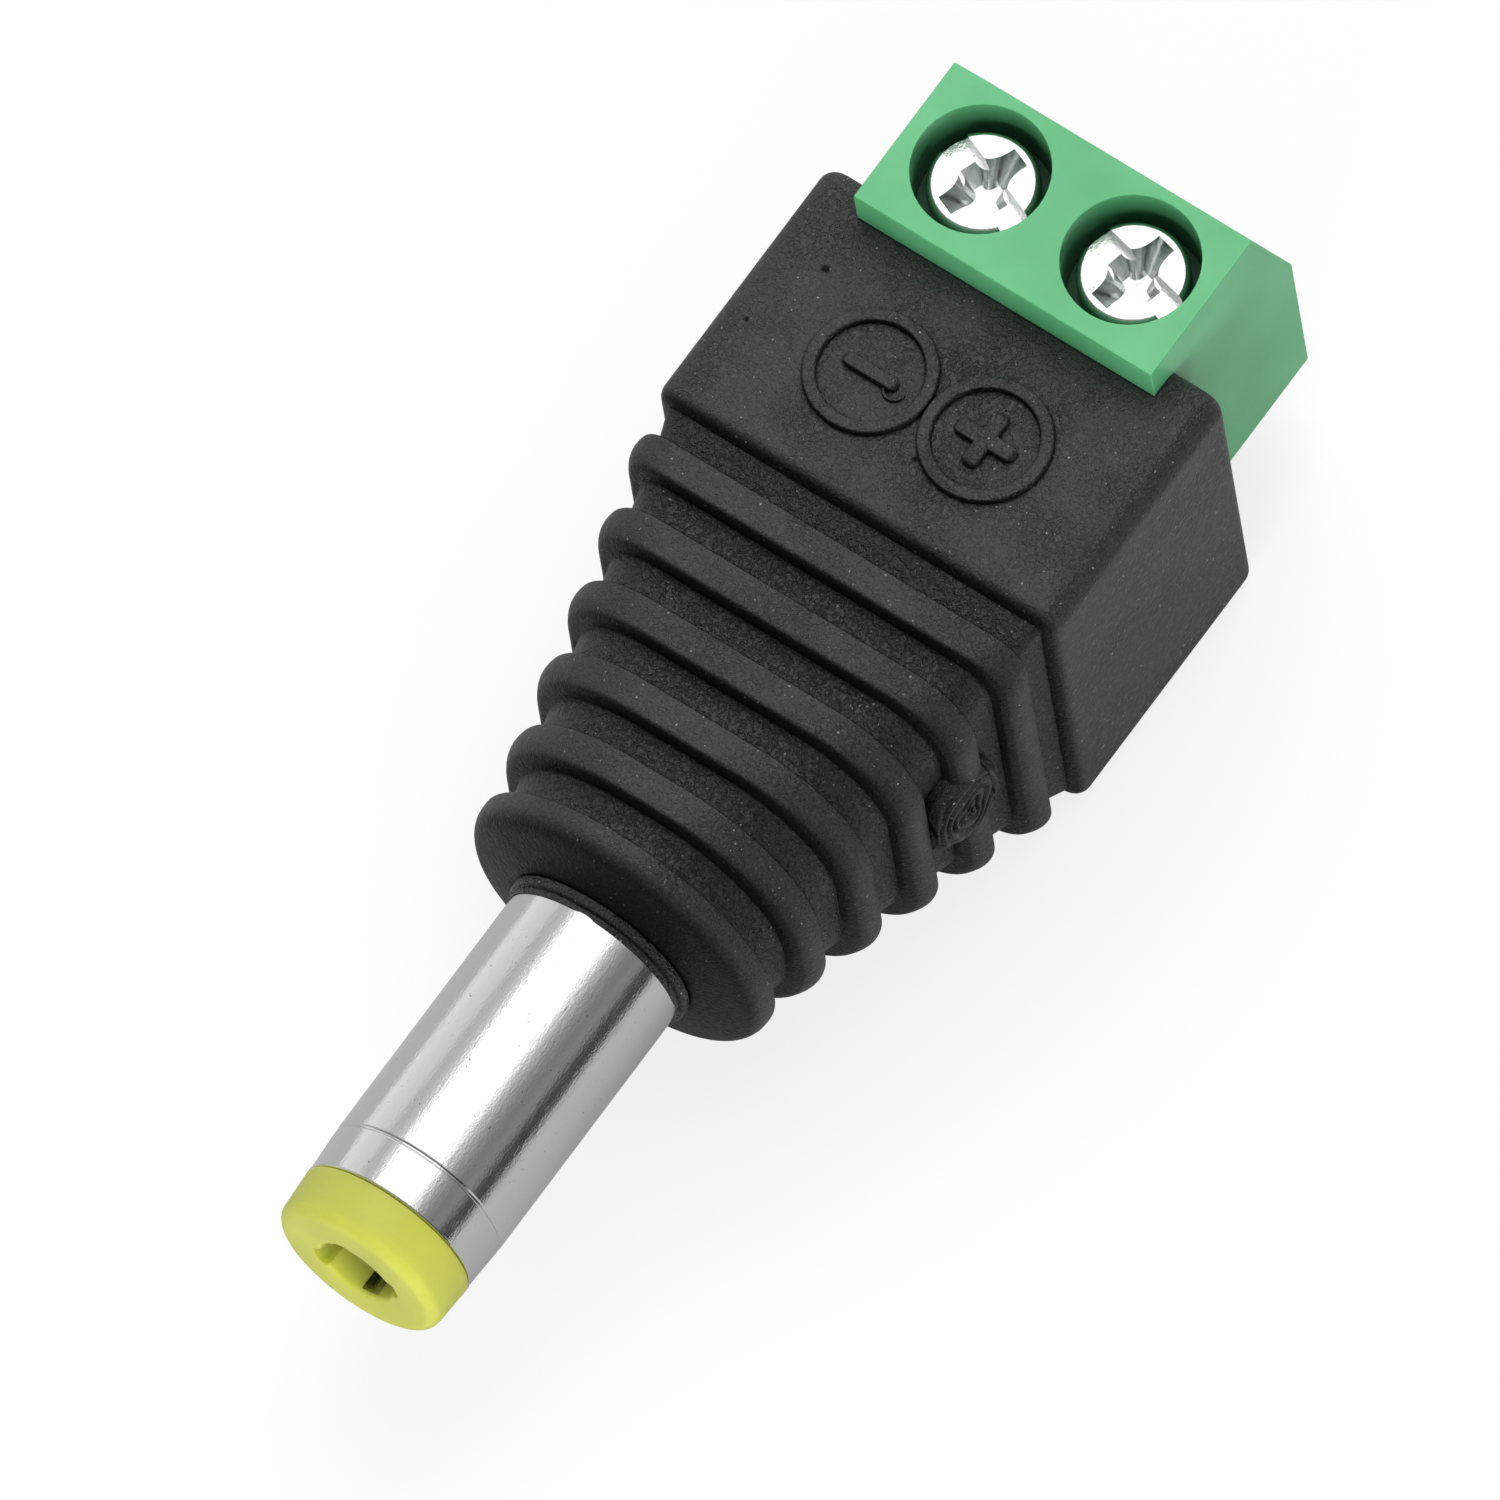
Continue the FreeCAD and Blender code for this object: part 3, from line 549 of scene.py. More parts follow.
BOX_OUTLINE = (6.65 * MM, BOX_TOP / 2, 0.7 * MM)
FIRST_OUTLINE = (6.6 * MM, 5.55 * MM, 1.2 * MM)
LAST_OUTLINE = (LAST_RADIUS, LAST_RADIUS, 0.98 * LAST_RADIUS)
FIRST_MIDDLE = 5.65 * MM
box_skin = grown(
    skin, *along_plug(box_contour), "box", Copies=1, Pitch=0.0, Start=body_low.x,
    First_outline=BOX_OUTLINE, Last_outline=BOX_OUTLINE, First_middle=BOX_TOP / 2,
    Last_middle=BOX_TOP / 2, Material=black_pvc,
)
rib_skin = grown(
    skin, *along_plug(rib_contour), "ribs", Copies=RIB_COUNT - 1, Pitch=RIB_PITCH, Start=FIRST_RIB,
    First_outline=FIRST_OUTLINE, Last_outline=LAST_OUTLINE, First_middle=FIRST_MIDDLE,
    Last_middle=AXIS_HEIGHT, Rounding=0.9 * MM, Bulge=0.22 * MM, Crest=RIB_WIDTH, Material=black_pvc,
)
front_skin = grown(
    skin, *along_plug(dome_contour), "front end", Copies=1, Pitch=0.0, Start=LAST_RIB,
    First_outline=LAST_OUTLINE, Last_outline=LAST_OUTLINE, First_middle=AXIS_HEIGHT,
    Last_middle=AXIS_HEIGHT, Material=black_pvc,
)
skins = (box_skin, rib_skin, front_skin)
print("faces of the box, the ribs and the front end:", [len(mesh.polygons) for mesh in skins])

# %% Join the three skins into one closed moulding
def boundary_loop(bm, x, near):
    """The open edges of a mesh at one place along the plug."""
    return [e for e in bm.edges if e.is_boundary and all(abs(v.co.x - x) < near for v in e.verts)]


def joined(meshes, name):
    """One mesh from several, its faces turned outwards and in one material slot."""
    bm = bmesh.new()
    for mesh in meshes:
        bm.from_mesh(mesh)
    for face in bm.faces:
        face.material_index = 0
    bmesh.ops.recalc_face_normals(bm, faces=bm.faces)
    whole = bpy.data.meshes.new(name)
    bm.to_mesh(whole)
    bm.free()
    return whole


bm = bmesh.new()
for mesh in skins:
    bm.from_mesh(mesh)
fifth_end = LAST_RIB - RIB_PITCH + RIB_WIDTH + RIB_FOOT
for x, x_other in ((BOX_FRONT, FIRST_RIB - RIB_FOOT), (fifth_end, LAST_RIB - RIB_FOOT)):
    loops = boundary_loop(bm, x, 0.001 * MM) + boundary_loop(bm, x_other, 0.001 * MM)
    bmesh.ops.bridge_loops(bm, edges=loops)
for x in (body_low.x, BODY_END):
    bmesh.ops.contextual_create(bm, geom=boundary_loop(bm, x, 0.001 * MM))
bmesh.ops.recalc_face_normals(bm, faces=bm.faces)
open_edges = sum(e.is_boundary for e in bm.edges)
body_mesh = bpy.data.meshes.new("moulded body")
bm.to_mesh(body_mesh)
bm.free()
body = new_object("moulded_body_skin", body_mesh, black_pvc)
print("moulding:", len(body_mesh.polygons), "faces,", open_edges, "open edges")

# %% [markdown]
# The block sits in a recess in the rear of the box. A boolean cut makes the recess with clean corners,
# and weighted normals then keep the wide flat faces flat beside their rounded edges.

# %% Cut the recess for the terminal block
def box_mesh(low, high, name):
    """A closed block between two corners."""
    bm = bmesh.new()
    bmesh.ops.create_cube(bm, size=1)
    for v in bm.verts:
        v.co = Vector(high[i] if v.co[i] > 0 else low[i] for i in range(3))
    mesh = bpy.data.meshes.new(name)
    bm.to_mesh(mesh)
    bm.free()
    return mesh


def cut_away(target_object, cutter_mesh):
    """Subtracts a closed mesh from an object, for good."""
    cutter = new_object("cutter", cutter_mesh)
    modifier = target_object.modifiers.new("cut", "BOOLEAN")
    modifier.operation = "DIFFERENCE"
    modifier.solver = "EXACT"
    modifier.object = cutter
    settle(target_object)
    bpy.data.objects.remove(cutter)


def settle(made):
    """Applies an object's modifiers, so that its mesh is plain."""
    depsgraph = bpy.context.evaluated_depsgraph_get()
    mesh = bpy.data.meshes.new_from_object(made.evaluated_get(depsgraph), depsgraph=depsgraph)
    made.modifiers.clear()
    made.data = mesh


def smooth_faces(made, degrees):
    """Smooth shading up to an angle, with wide faces kept flat beside rounded edges."""
    made.data.shade_smooth()
    made.data.set_sharp_from_angle(angle=math.radians(degrees))
    modifier = made.modifiers.new("even", "WEIGHTED_NORMAL")
    modifier.keep_sharp = True
    settle(made)


recess_low = Vector((body_low.x - 1 * MM, block_low.y, block_low.z))
recess_high = Vector((block_high.x, block_high.y, body_high.z + 1 * MM))
cut_away(body, box_mesh(recess_low, recess_high, "recess"))
smooth_faces(body, 50)
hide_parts("moulded_body")
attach(body, "plug")
print("body after the recess:", len(body.data.polygons), "faces")

# %% [markdown]
# ## The terminal block
#
# The CAD solid already has the right shape, wells and windows included, but its edges are knife sharp.
# A copy is welded, its flat triangles are joined again into whole faces, and a small bevel gives the
# edges the radius that a mould leaves.

# %% Soften a copy of the block
block_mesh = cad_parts["terminal_housing"].data.copy()
block_mesh.materials.clear()
bm = bmesh.new()
bm.from_mesh(block_mesh)
bmesh.ops.remove_doubles(bm, verts=bm.verts, dist=WELD)
bmesh.ops.dissolve_limit(bm, angle_limit=math.radians(1), verts=bm.verts, edges=bm.edges)
for face in bm.faces:
    face.material_index = 0
bm.to_mesh(block_mesh)
bm.free()
block = new_object("terminal_block", block_mesh, green_polyamide)
bevel = block.modifiers.new("edge", "BEVEL")
bevel.width = 0.07 * MM
bevel.segments = 2
bevel.limit_method = "ANGLE"
bevel.angle_limit = math.radians(30)
settle(block)
smooth_faces(block, 35)
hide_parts("terminal_housing")
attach(block, "plug")
print("block:", len(block_mesh.polygons), "faces before its bevel,", len(block.data.polygons), "after")

# %% [markdown]
# ## The barrel
#
# The barrel is a turned tube. A lathe profile spun round the axis gives it the scored ring near the
# front and the thin rolled lip that holds the yellow liner.

# %% Spin the barrel's profile
BARREL_RADIUS = 2.75 * MM
LATHE_STEPS = 160


def turned(profile, name, steps, ring=False):
    """A profile of (radius, height) points turned round Z: a closed ring, or a solid with flat ends."""
    verts, faces = [], []
    for step in range(steps):
        turn = 2 * math.pi * step / steps
        verts += [(r * math.cos(turn), r * math.sin(turn), z) for r, z in profile]
    count = len(profile)
    for step in range(steps):
        here, after = step * count, (step + 1) % steps * count
        for i in range(count if ring else count - 1):
            j = (i + 1) % count
            faces.append((here + i, here + j, after + j, after + i))
    if not ring:
        faces.append([step * count for step in reversed(range(steps))])
        faces.append([step * count + count - 1 for step in range(steps)])
    mesh = bpy.data.meshes.new(name + " turned")
    mesh.from_pydata(verts, [], faces)
    return joined([mesh], name)


def along_barrel(profile, name):
    """A closed ring turned round the barrel's axis; points are (x, radius)."""
    mesh = turned([(r, x) for x, r in profile], name, LATHE_STEPS, ring=True)
    mesh.transform(Matrix(((0, 0, 1, 0), (1, 0, 0, 0), (0, 1, 0, AXIS_HEIGHT), (0, 0, 0, 1))))
    return mesh


SCORE = BARREL_END - 1.45 * MM
SLEEVE_REAR_RADIUS = 2.55 * MM
FRONT_RADIUS = 2.68 * MM
barrel_profile = [
    (sleeve_low.x, BARREL_RADIUS - 0.4 * MM),
    (sleeve_low.x, SLEEVE_REAR_RADIUS),
    (BODY_END - 0.3 * MM, SLEEVE_REAR_RADIUS),
    (BODY_END - 0.3 * MM, BARREL_RADIUS),
    (SCORE - 0.1 * MM, BARREL_RADIUS),
    (SCORE - 0.06 * MM, BARREL_RADIUS - 0.01 * MM),
    (SCORE - 0.02 * MM, BARREL_RADIUS - 0.05 * MM),
    (SCORE + 0.02 * MM, BARREL_RADIUS - 0.05 * MM),
    (SCORE + 0.06 * MM, BARREL_RADIUS - 0.02 * MM),
    (SCORE + 0.1 * MM, BARREL_RADIUS - 0.01 * MM),
    (BARREL_END - 0.12 * MM, FRONT_RADIUS),
    (BARREL_END - 0.05 * MM, FRONT_RADIUS + 0.02 * MM),
    (BARREL_END - 0.02 * MM, FRONT_RADIUS + 0.01 * MM),
    (BARREL_END, FRONT_RADIUS - 0.03 * MM),
    (BARREL_END, BARREL_RADIUS - 0.4 * MM),
]
barrel = new_object("barrel_tube", along_barrel(barrel_profile, "barrel"), bright_nickel)
smooth_faces(barrel, 30)
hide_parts("barrel_sleeve")
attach(barrel, "plug")
print("barrel:", len(barrel.data.polygons), "faces")

# %% [markdown]
# The liner is turned in the same way, and its mouth is then cut: two side lobes, tilted, and the upper
# one of the grooves in which the contact's arms lie. The lower one stays under a skin of plastic.

# %% The yellow liner
TIP_RADIUS = (tip_high.z - tip_low.z) / 2
TIP_EDGE = 0.38 * MM
MOUTH_RADIUS = 1.15 * MM
LINER_RADIUS = 2.35 * MM
CHAMBER_RADIUS = 1.5 * MM
CHAMBER_END = tip_high.x - 0.85 * MM
rim = arc(tip_high.x - TIP_EDGE, TIP_RADIUS - 0.02 * MM - TIP_EDGE, TIP_EDGE, 90, 0, 8)
liner_profile = [
    (tip_low.x, CHAMBER_RADIUS), (tip_low.x, LINER_RADIUS), (BARREL_END - 0.03 * MM, LINER_RADIUS),
    (BARREL_END - 0.03 * MM, TIP_RADIUS - 0.06 * MM), (BARREL_END + 0.02 * MM, TIP_RADIUS - 0.05 * MM),
    (BARREL_END + 0.05 * MM, TIP_RADIUS + 0.04 * MM), *rim,
    (tip_high.x, MOUTH_RADIUS + 0.14 * MM), (tip_high.x - 0.03 * MM, MOUTH_RADIUS + 0.06 * MM),
    (tip_high.x - 0.12 * MM, MOUTH_RADIUS), (CHAMBER_END, MOUTH_RADIUS - 0.04 * MM),
    (CHAMBER_END, CHAMBER_RADIUS),
]
liner = new_object("tip_liner", along_barrel(liner_profile, "liner"), yellow_acetal)


def across_mouth(start, end, half_width, tilt, name):
    """A bar across the mouth, turned round the barrel's axis."""
    low = (CHAMBER_END - 0.1 * MM, start, -half_width)
    mesh = box_mesh(low, (tip_high.x + 1 * MM, end, half_width), name)
    bm = bmesh.new()
    bm.from_mesh(mesh)
    lengthwise = [e for e in bm.edges if abs(e.verts[0].co.x - e.verts[1].co.x) > 0.5 * MM]
    edge = half_width * 0.6
    bmesh.ops.bevel(bm, geom=lengthwise, offset=edge, segments=5, affect="EDGES", profile=0.5)
    bm.to_mesh(mesh)
    bm.free()
    tilted = Matrix.Rotation(math.radians(tilt), 4, "X")
    mesh.transform(Matrix.Translation((0, 0, AXIS_HEIGHT)) @ tilted)
    return mesh


cut_away(liner, across_mouth(-1.42 * MM, 1.42 * MM, 0.4 * MM, 14, "lobes"))
cut_away(liner, across_mouth(0, 1.35 * MM, 0.32 * MM, 107, "groove"))
smooth_faces(liner, 40)
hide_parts("tip_insulator")
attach(liner, "plug")
print("liner:", len(liner.data.polygons), "faces")

# %% [markdown]
# ## The clamp screws
#
# Each screw has a plain slot and a cross recess in one head, and a thread. The head is turned and cut.
# The thread is a ridge that follows a spiral round the shank, so a tree makes it.

# %% The tree for the thread
thread, given = begin_tree(
    "thread on a shank", Shank="Geometry", Turns="Float", Radius="Float", Height="Float", Ridge="Float",
    Start="Float", Material="Material",
)
spiral = add(thread, "GeometryNodeCurveSpiral", {
    "Resolution": 24, "Rotations": given["Turns"], "Start Radius": given["Radius"],
    "End Radius": given["Radius"], "Height": given["Height"],
})
start_point = add(thread, "ShaderNodeCombineXYZ", {"Z": given["Start"]})
spiral = add(thread, "GeometryNodeTransform", {"Geometry": spiral, "Translation": start_point})
ridge = add(thread, "GeometryNodeCurvePrimitiveCircle", {"Resolution": 6, "Radius": given["Ridge"]})
ridge = add(thread, "GeometryNodeCurveToMesh", {
    "Curve": spiral, "Profile Curve": ridge, "Fill Caps": True,
})
both = add(thread, "GeometryNodeJoinGeometry", {"Geometry": ridge}, out=None)
thread.links.new(given["Shank"], both.inputs["Geometry"])
end_tree(thread, both.outputs[0], given["Material"])

# %% Turn and cut the screws
HEAD_RADIUS = 1.575 * MM
HEAD_HEIGHT = 1.5 * MM
HEAD_STEPS = 72
SLOT_WIDTH = 0.85 * MM
SLOT_DEPTH = 0.42 * MM
RECESS_DEPTH = 1.15 * MM
RECESS_TAPER = 0.42
THREAD_RADIUS = 1.25 * MM
THREAD_PITCH = 0.45 * MM


def recess_ring(scale):
    """The cross recess at one depth: four arms, with a rounded swelling of the head between them."""
    half, flank = 0.31 * MM * scale, 0.37 * MM * scale
    points = []
    for quarter in range(4):
        reach = (1.02 if quarter % 2 == 0 else 1.25) * MM * scale
        following = (1.25 if quarter % 2 == 0 else 1.02) * MM * scale
        turn = math.pi / 2 * quarter
        places = [(reach, -half)]
        for i in range(9):
            t = i / 8
            start, bend, end = (reach, half), (flank, flank), (half, following)
            places.append(tuple(
                (1 - t) ** 2 * a + 2 * t * (1 - t) * (1.3 * b - 0.15 * (a + c)) + t * t * c
                for a, b, c in zip(start, bend, end)
            ))
        for x, y in places[:-1]:
            points.append((
                x * math.cos(turn) - y * math.sin(turn), x * math.sin(turn) + y * math.cos(turn)
            ))
    return points


def recess_mesh(top):
    """The tapered cross that is cut from a head."""
    rings = [(top + 0.1 * MM, 1.0), (top, 1.0), (top - RECESS_DEPTH, RECESS_TAPER)]
    verts, faces = [], []
    for z, scale in rings:
        verts += [(x, y, z) for x, y in recess_ring(scale)]
    count = len(verts) // len(rings)
    for level in range(len(rings) - 1):
        for i in range(count):
            j = (i + 1) % count
            here = level * count
            faces.append((here + j, here + i, here + count + i, here + count + j))
    faces.append(list(range(count)))
    faces.append(list(reversed(range((len(rings) - 1) * count, len(rings) * count))))
    mesh = bpy.data.meshes.new("recess")
    mesh.from_pydata(verts, [], faces)
    return mesh


for side in ("negative", "positive"):
    low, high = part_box("clamp_screw_" + side)
    middle = (low + high) / 2
    slot_turn = math.radians({"negative": 68.6, "positive": 77.2}[side])
    seat = high.z - HEAD_HEIGHT
    head_profile = [
        (HEAD_RADIUS - 0.1 * MM, seat), (HEAD_RADIUS, seat + 0.1 * MM),
        (HEAD_RADIUS, high.z - 0.17 * MM), (HEAD_RADIUS - 0.04 * MM, high.z - 0.08 * MM),
        (HEAD_RADIUS - 0.12 * MM, high.z - 0.015 * MM), (HEAD_RADIUS - 0.18 * MM, high.z),
    ]
    head_mesh = turned(head_profile, "head", HEAD_STEPS)
    head = new_object("clamp_screw_" + side + "_dressed", head_mesh, clear_zinc)
    slot_low = (-2 * HEAD_RADIUS, -SLOT_WIDTH / 2, high.z - SLOT_DEPTH)
    slot_high = (2 * HEAD_RADIUS, SLOT_WIDTH / 2, high.z + 1 * MM)
    cut_away(head, box_mesh(slot_low, slot_high, "slot"))
    cut_away(head, recess_mesh(high.z))
    smooth_faces(head, 35)
    core = turned([
        (THREAD_RADIUS - 0.4 * MM, low.z), (THREAD_RADIUS - 0.25 * MM, low.z + 0.15 * MM),
        (THREAD_RADIUS - 0.25 * MM, seat + 0.05 * MM),
    ], "core", 40)
    length = seat - low.z - 0.4 * MM
    points, links = [tuple(v.co) for v in core.vertices], [tuple(p.vertices) for p in core.polygons]
    screw_thread = grown(
        thread, points, links, "thread",
        Turns=length / THREAD_PITCH, Radius=THREAD_RADIUS - 0.22 * MM, Height=length, Ridge=0.2 * MM,
        Start=low.z + 0.2 * MM, Material=clear_zinc,
    )
    bm = bmesh.new()
    for mesh in (head.data, screw_thread):
        bm.from_mesh(mesh)
    bm.to_mesh(head.data)
    bm.free()
    head.data.transform(
        Matrix.Translation((middle.x, middle.y, 0)) @ Matrix.Rotation(slot_turn, 4, "Z")
    )
    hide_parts("clamp_screw_" + side)
    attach(head, "screw_" + side)
    print("screw " + side + ":", len(head.data.polygons), "faces")

# %% [markdown]
# ## Polarity signs
#
# A minus and a plus stand on the box, each in a ring. They are cut into the mould with a small cutter,
# so on the plug they stand a fifth of a millimetre proud, flat on top with steep sides. A stroke that
# follows a path suits Geometry Nodes: each path becomes a curve, and a rectangle with rounded corners
# is swept along it.

# %% The tree that sweeps a raised stroke
stroke, given = begin_tree(
    "raised stroke", Path="Geometry", Width="Float", Height="Float", Edge="Float", Ground="Float",
    Material="Material",
)
path = add(stroke, "GeometryNodeMeshToCurve", {0: given["Path"]})
depth = calc(stroke, "MULTIPLY", given["Height"], 2.0)
profile = add(stroke, "GeometryNodeCurvePrimitiveQuadrilateral", {
    "Width": given["Width"], "Height": depth,
})
profile = add(stroke, "GeometryNodeFilletCurve", {
    "Curve": profile, "Count": 4, "Radius": given["Edge"],
}, mode="POLY")
ends = add(stroke, "GeometryNodeInputNamedAttribute", {"Name": "end"}, data_type="FLOAT")
path = add(stroke, "GeometryNodeSetCurveRadius", {"Curve": path, "Radius": ends})
swept = add(stroke, "GeometryNodeCurveToMesh", {
    "Curve": path, "Profile Curve": profile, "Scale": ends, "Fill Caps": True,
})
lift = add(stroke, "ShaderNodeCombineXYZ", {"Z": given["Ground"]})
swept = add(stroke, "GeometryNodeTransform", {"Geometry": swept, "Translation": lift})
end_tree(stroke, swept, given["Material"])

# %% Paths of the signs
BOX_REAR = body_low.x
SIGN_RADIUS = 1.7 * MM
STROKE_HEIGHT = 0.2 * MM
STROKE_EDGE = 0.07 * MM


def ring_path(x, y, radius, steps=72):
    """A closed circle, with its end factor 1 all round."""
    turns = [2 * math.pi * i / steps for i in range(steps)]
    points = [(x + radius * math.cos(t), y + radius * math.sin(t), 0) for t in turns]
    return points, [(i, (i + 1) % steps) for i in range(steps)], [1.0] * steps


def bar_path(x, y, angle, half_length, half_width, steps=24):
    """A straight stroke through a point, its ends rounded by the end factor."""
    points, factors = [], []
    for i in range(steps + 1):
        t = 1 - math.cos(math.pi * i / steps)
        reach = (t - 1) * half_length
        points.append((x + reach * math.cos(angle), y + reach * math.sin(angle), 0))
        left = (half_length - abs(reach)) / half_width
        factors.append(math.sqrt(max(0.0, 1 - (1 - min(left, 1)) ** 2)) or 0.02)
    return points, [(i, i + 1) for i in range(steps)], factors


def raised(path, width, name, height=STROKE_HEIGHT):
    """A stroke standing on the top of the box."""
    edge = min(STROKE_EDGE, 0.4 * width)
    return grown(stroke, *path[:2], name, path[2], Width=width, Height=height, Edge=edge,
                 Ground=BOX_TOP, Material=black_pvc)


minus_x, plus_x = BOX_REAR + 4.64 * MM, BOX_REAR + 4.62 * MM
minus_y, plus_y = -1.94 * MM, 1.87 * MM
across = math.radians(90)
hook_turns = [math.radians(-80 + 175 * i / 16) for i in range(17)]
hook_x, hook_y = minus_x + 0.1 * MM, minus_y + 0.85 * MM
hook_points = [
    (hook_x + 0.3 * MM * math.cos(t), hook_y + 0.3 * MM * math.sin(t), 0) for t in hook_turns
]
hook = hook_points, [(i, i + 1) for i in range(16)], [1.0] * 17
bar_height = STROKE_HEIGHT - 0.004 * MM
strokes = [
    raised(ring_path(minus_x, minus_y, SIGN_RADIUS), 0.38 * MM, "minus ring"),
    raised(ring_path(plus_x, plus_y, SIGN_RADIUS), 0.38 * MM, "plus ring"),
    raised(bar_path(minus_x, minus_y, across, 0.9 * MM, 0.2 * MM), 0.42 * MM, "minus bar"),
    raised(bar_path(plus_x, plus_y, across, 1.0 * MM, 0.24 * MM), 0.5 * MM, "plus bar across"),
    raised(bar_path(plus_x, plus_y, 0.0, 0.93 * MM, 0.24 * MM), 0.5 * MM, "plus bar along", bar_height),
    raised(hook, 0.1 * MM, "flaw by the minus bar", 0.08 * MM),
]
signs = new_object("polarity_signs", joined(strokes, "polarity signs"), black_pvc)
smooth_faces(signs, 60)
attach(signs, "plug")
print("signs:", len(signs.data.polygons), "faces")

# %% [markdown]
# ## The gate mark
#
# On the plus side, low between the second and the third rib, the melt came in. The gate left a
# round pad with wrinkles that run round it like growth rings, pressed out of true. The pad is a dish of
# points: each one's height follows its distance from a middle that wanders with the angle.

# %% Press the gate mark
GATE_HALF_LENGTH, GATE_HALF_HEIGHT = 1.25 * MM, 1.85 * MM
GATE_RINGS, GATE_SPOKES = 40, 96
gate_middle = Vector((-1.55 * MM, 0, 6.1 * MM))
gate_slope = (LAST_OUTLINE[0] - FIRST_OUTLINE[0]) / (LAST_RIB - FIRST_RIB)
gate_level = FIRST_OUTLINE[0] + gate_slope * (gate_middle.x - FIRST_RIB)
verts = [(gate_middle.x, gate_level - 1.3 * MM, gate_middle.z)]
for ring in range(1, GATE_RINGS + 2):
    reach = min(ring, GATE_RINGS) / GATE_RINGS
    sunk = 1.1 * MM if ring > GATE_RINGS else 0.0
    for spoke in range(GATE_SPOKES):
        turn = 2 * math.pi * spoke / GATE_SPOKES
        bent = reach + 0.16 * reach * math.sin(2 * turn + 0.6) + 0.07 * math.sin(3 * turn - 5 * reach)
        ripple = 0.13 * abs(math.sin(math.pi * 4.5 * bent)) * (1 - reach ** 4)
        stretch = reach * (1 + 0.12 * math.sin(2 * turn + 2.0))
        x, z = GATE_HALF_LENGTH * stretch * math.cos(turn), GATE_HALF_HEIGHT * stretch * math.sin(turn)
        fall = 2.6 * max(0.0, reach - 0.75) ** 1.5
        height = gate_level + gate_slope * x + (ripple - fall) * MM - sunk
        verts.append((gate_middle.x + x, height, gate_middle.z + z))
verts.append((gate_middle.x, gate_level + 0.02 * MM, gate_middle.z))
faces = []
for spoke in range(GATE_SPOKES):
    after = (spoke + 1) % GATE_SPOKES
    faces.append((len(verts) - 1, 1 + spoke, 1 + after))
    rim = 1 + GATE_RINGS * GATE_SPOKES
    faces.append((0, rim + after, rim + spoke))
    for ring in range(GATE_RINGS):
        here = 1 + ring * GATE_SPOKES
        outer = here + GATE_SPOKES
        faces.append((here + spoke, outer + spoke, outer + after, here + after))
gate_mesh = bpy.data.meshes.new("gate rings")
gate_mesh.from_pydata(verts, [], faces)
gate = new_object("gate_mark", joined([gate_mesh], "gate mark"), black_pvc)
smooth_faces(gate, 60)
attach(gate, "plug")
print("gate mark:", len(gate.data.polygons), "faces, at y =", round(gate_level / MM, 2), "mm")

# %% [markdown]
# ## Finishes on the pieces that stay as they are
#
# The cages, bars, leads and the centre contact keep their CAD solids, which are plain stampings and
# wires. Each gets the finish of its metal or plastic in its material slots.

# %% Dress the CAD pieces
black_jacket = coloured_plastic(
    "PVC jacket, black", "#1E1E1F", "#262627", 0.5, 0.1, 0.05 * MM, 0.1 * MM
)
red_jacket = coloured_plastic("PVC jacket, red", "#9C1F1C", "#A92823", 0.5, 0.25, 0.1 * MM, 0.1 * MM)
dressing = {
    "wire_cage_negative": clear_zinc, "wire_cage_positive": clear_zinc,
    "contact_bar_negative": tin, "contact_bar_positive": tin,
    "centre_contact": bright_nickel, "sleeve_lug": tin, "rear_bush": white_acetal,
    "lead_conductor_negative": tin, "lead_conductor_positive": tin,
    "lead_jacket_negative": black_jacket, "lead_jacket_positive": red_jacket,
}
for node, finish in dressing.items():
    mesh_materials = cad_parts[node].data.materials
    for index in range(len(mesh_materials)):
        mesh_materials[index] = finish
    if not mesh_materials:
        mesh_materials.append(finish)
print("dressed", len(dressing), "CAD pieces")

# %% [markdown]
# ## Floor, light and backdrop
#
# The photograph is a cut-out on white. A pale floor carries the plug's soft shadow, and both floor and
# world show a plain white to the camera. A mirror such as the barrel shows the room too, so the room
# matters: a large soft box hangs over the plug, the wall on the minus side is white, and a dark
# curtain stands on the plus side, which draws the dark band along the barrel. The room is darker in
# front of the tip, where the ribs' front edges look. Three more soft boxes light the colours of the
# plastics, one from behind and two from low down, and no glossy surface shows them.

# %% Floor
def seen_share(tree, to_camera, to_mirrors):
    """How much of a surface's plain white is seen, by the camera and by mirrors and clear things."""
    ray = add(tree, "ShaderNodeLightPath", out=None).outputs
    mirrored = calc(tree, "MAXIMUM", ray["Is Glossy Ray"], ray["Is Transmission Ray"])
    mirrored = calc(tree, "MULTIPLY", mirrored, to_mirrors)
    direct = calc(tree, "MULTIPLY", ray["Is Camera Ray"], to_camera)
    return calc(tree, "MAXIMUM", direct, mirrored)


FLOOR_HALF, FLOOR_TOP = 1500 * MM, -0.01 * MM
floor_mesh = bpy.data.meshes.new("floor")
corners = [(x * FLOOR_HALF, y * FLOOR_HALF, FLOOR_TOP) for x, y in ((-1, -1), (1, -1), (1, 1), (-1, 1))]
floor_mesh.from_pydata(corners, [], [(0, 1, 2, 3)])
floor = new_object("floor", floor_mesh)
paper = bpy.data.materials.new("white paper")
paper.use_nodes = True
tree = paper.node_tree
tree.nodes.clear()
ray = add(tree, "ShaderNodeLightPath", out=None).outputs
tone = add(tree, MIX, {
    0: ray["Is Camera Ray"], 6: linear("#B4B4B4"), 7: linear("#FFFFFF"),
}, data_type="RGBA", out=2)
lit = add(tree, "ShaderNodeBsdfDiffuse", {"Color": tone})
plain = add(tree, "ShaderNodeEmission", {"Color": (1, 1, 1, 1), "Strength": 1.0})
underside = add(tree, "ShaderNodeNewGeometry", out="Backfacing")
share = calc(tree, "MAXIMUM", seen_share(tree, 0.75, 0.12), underside)
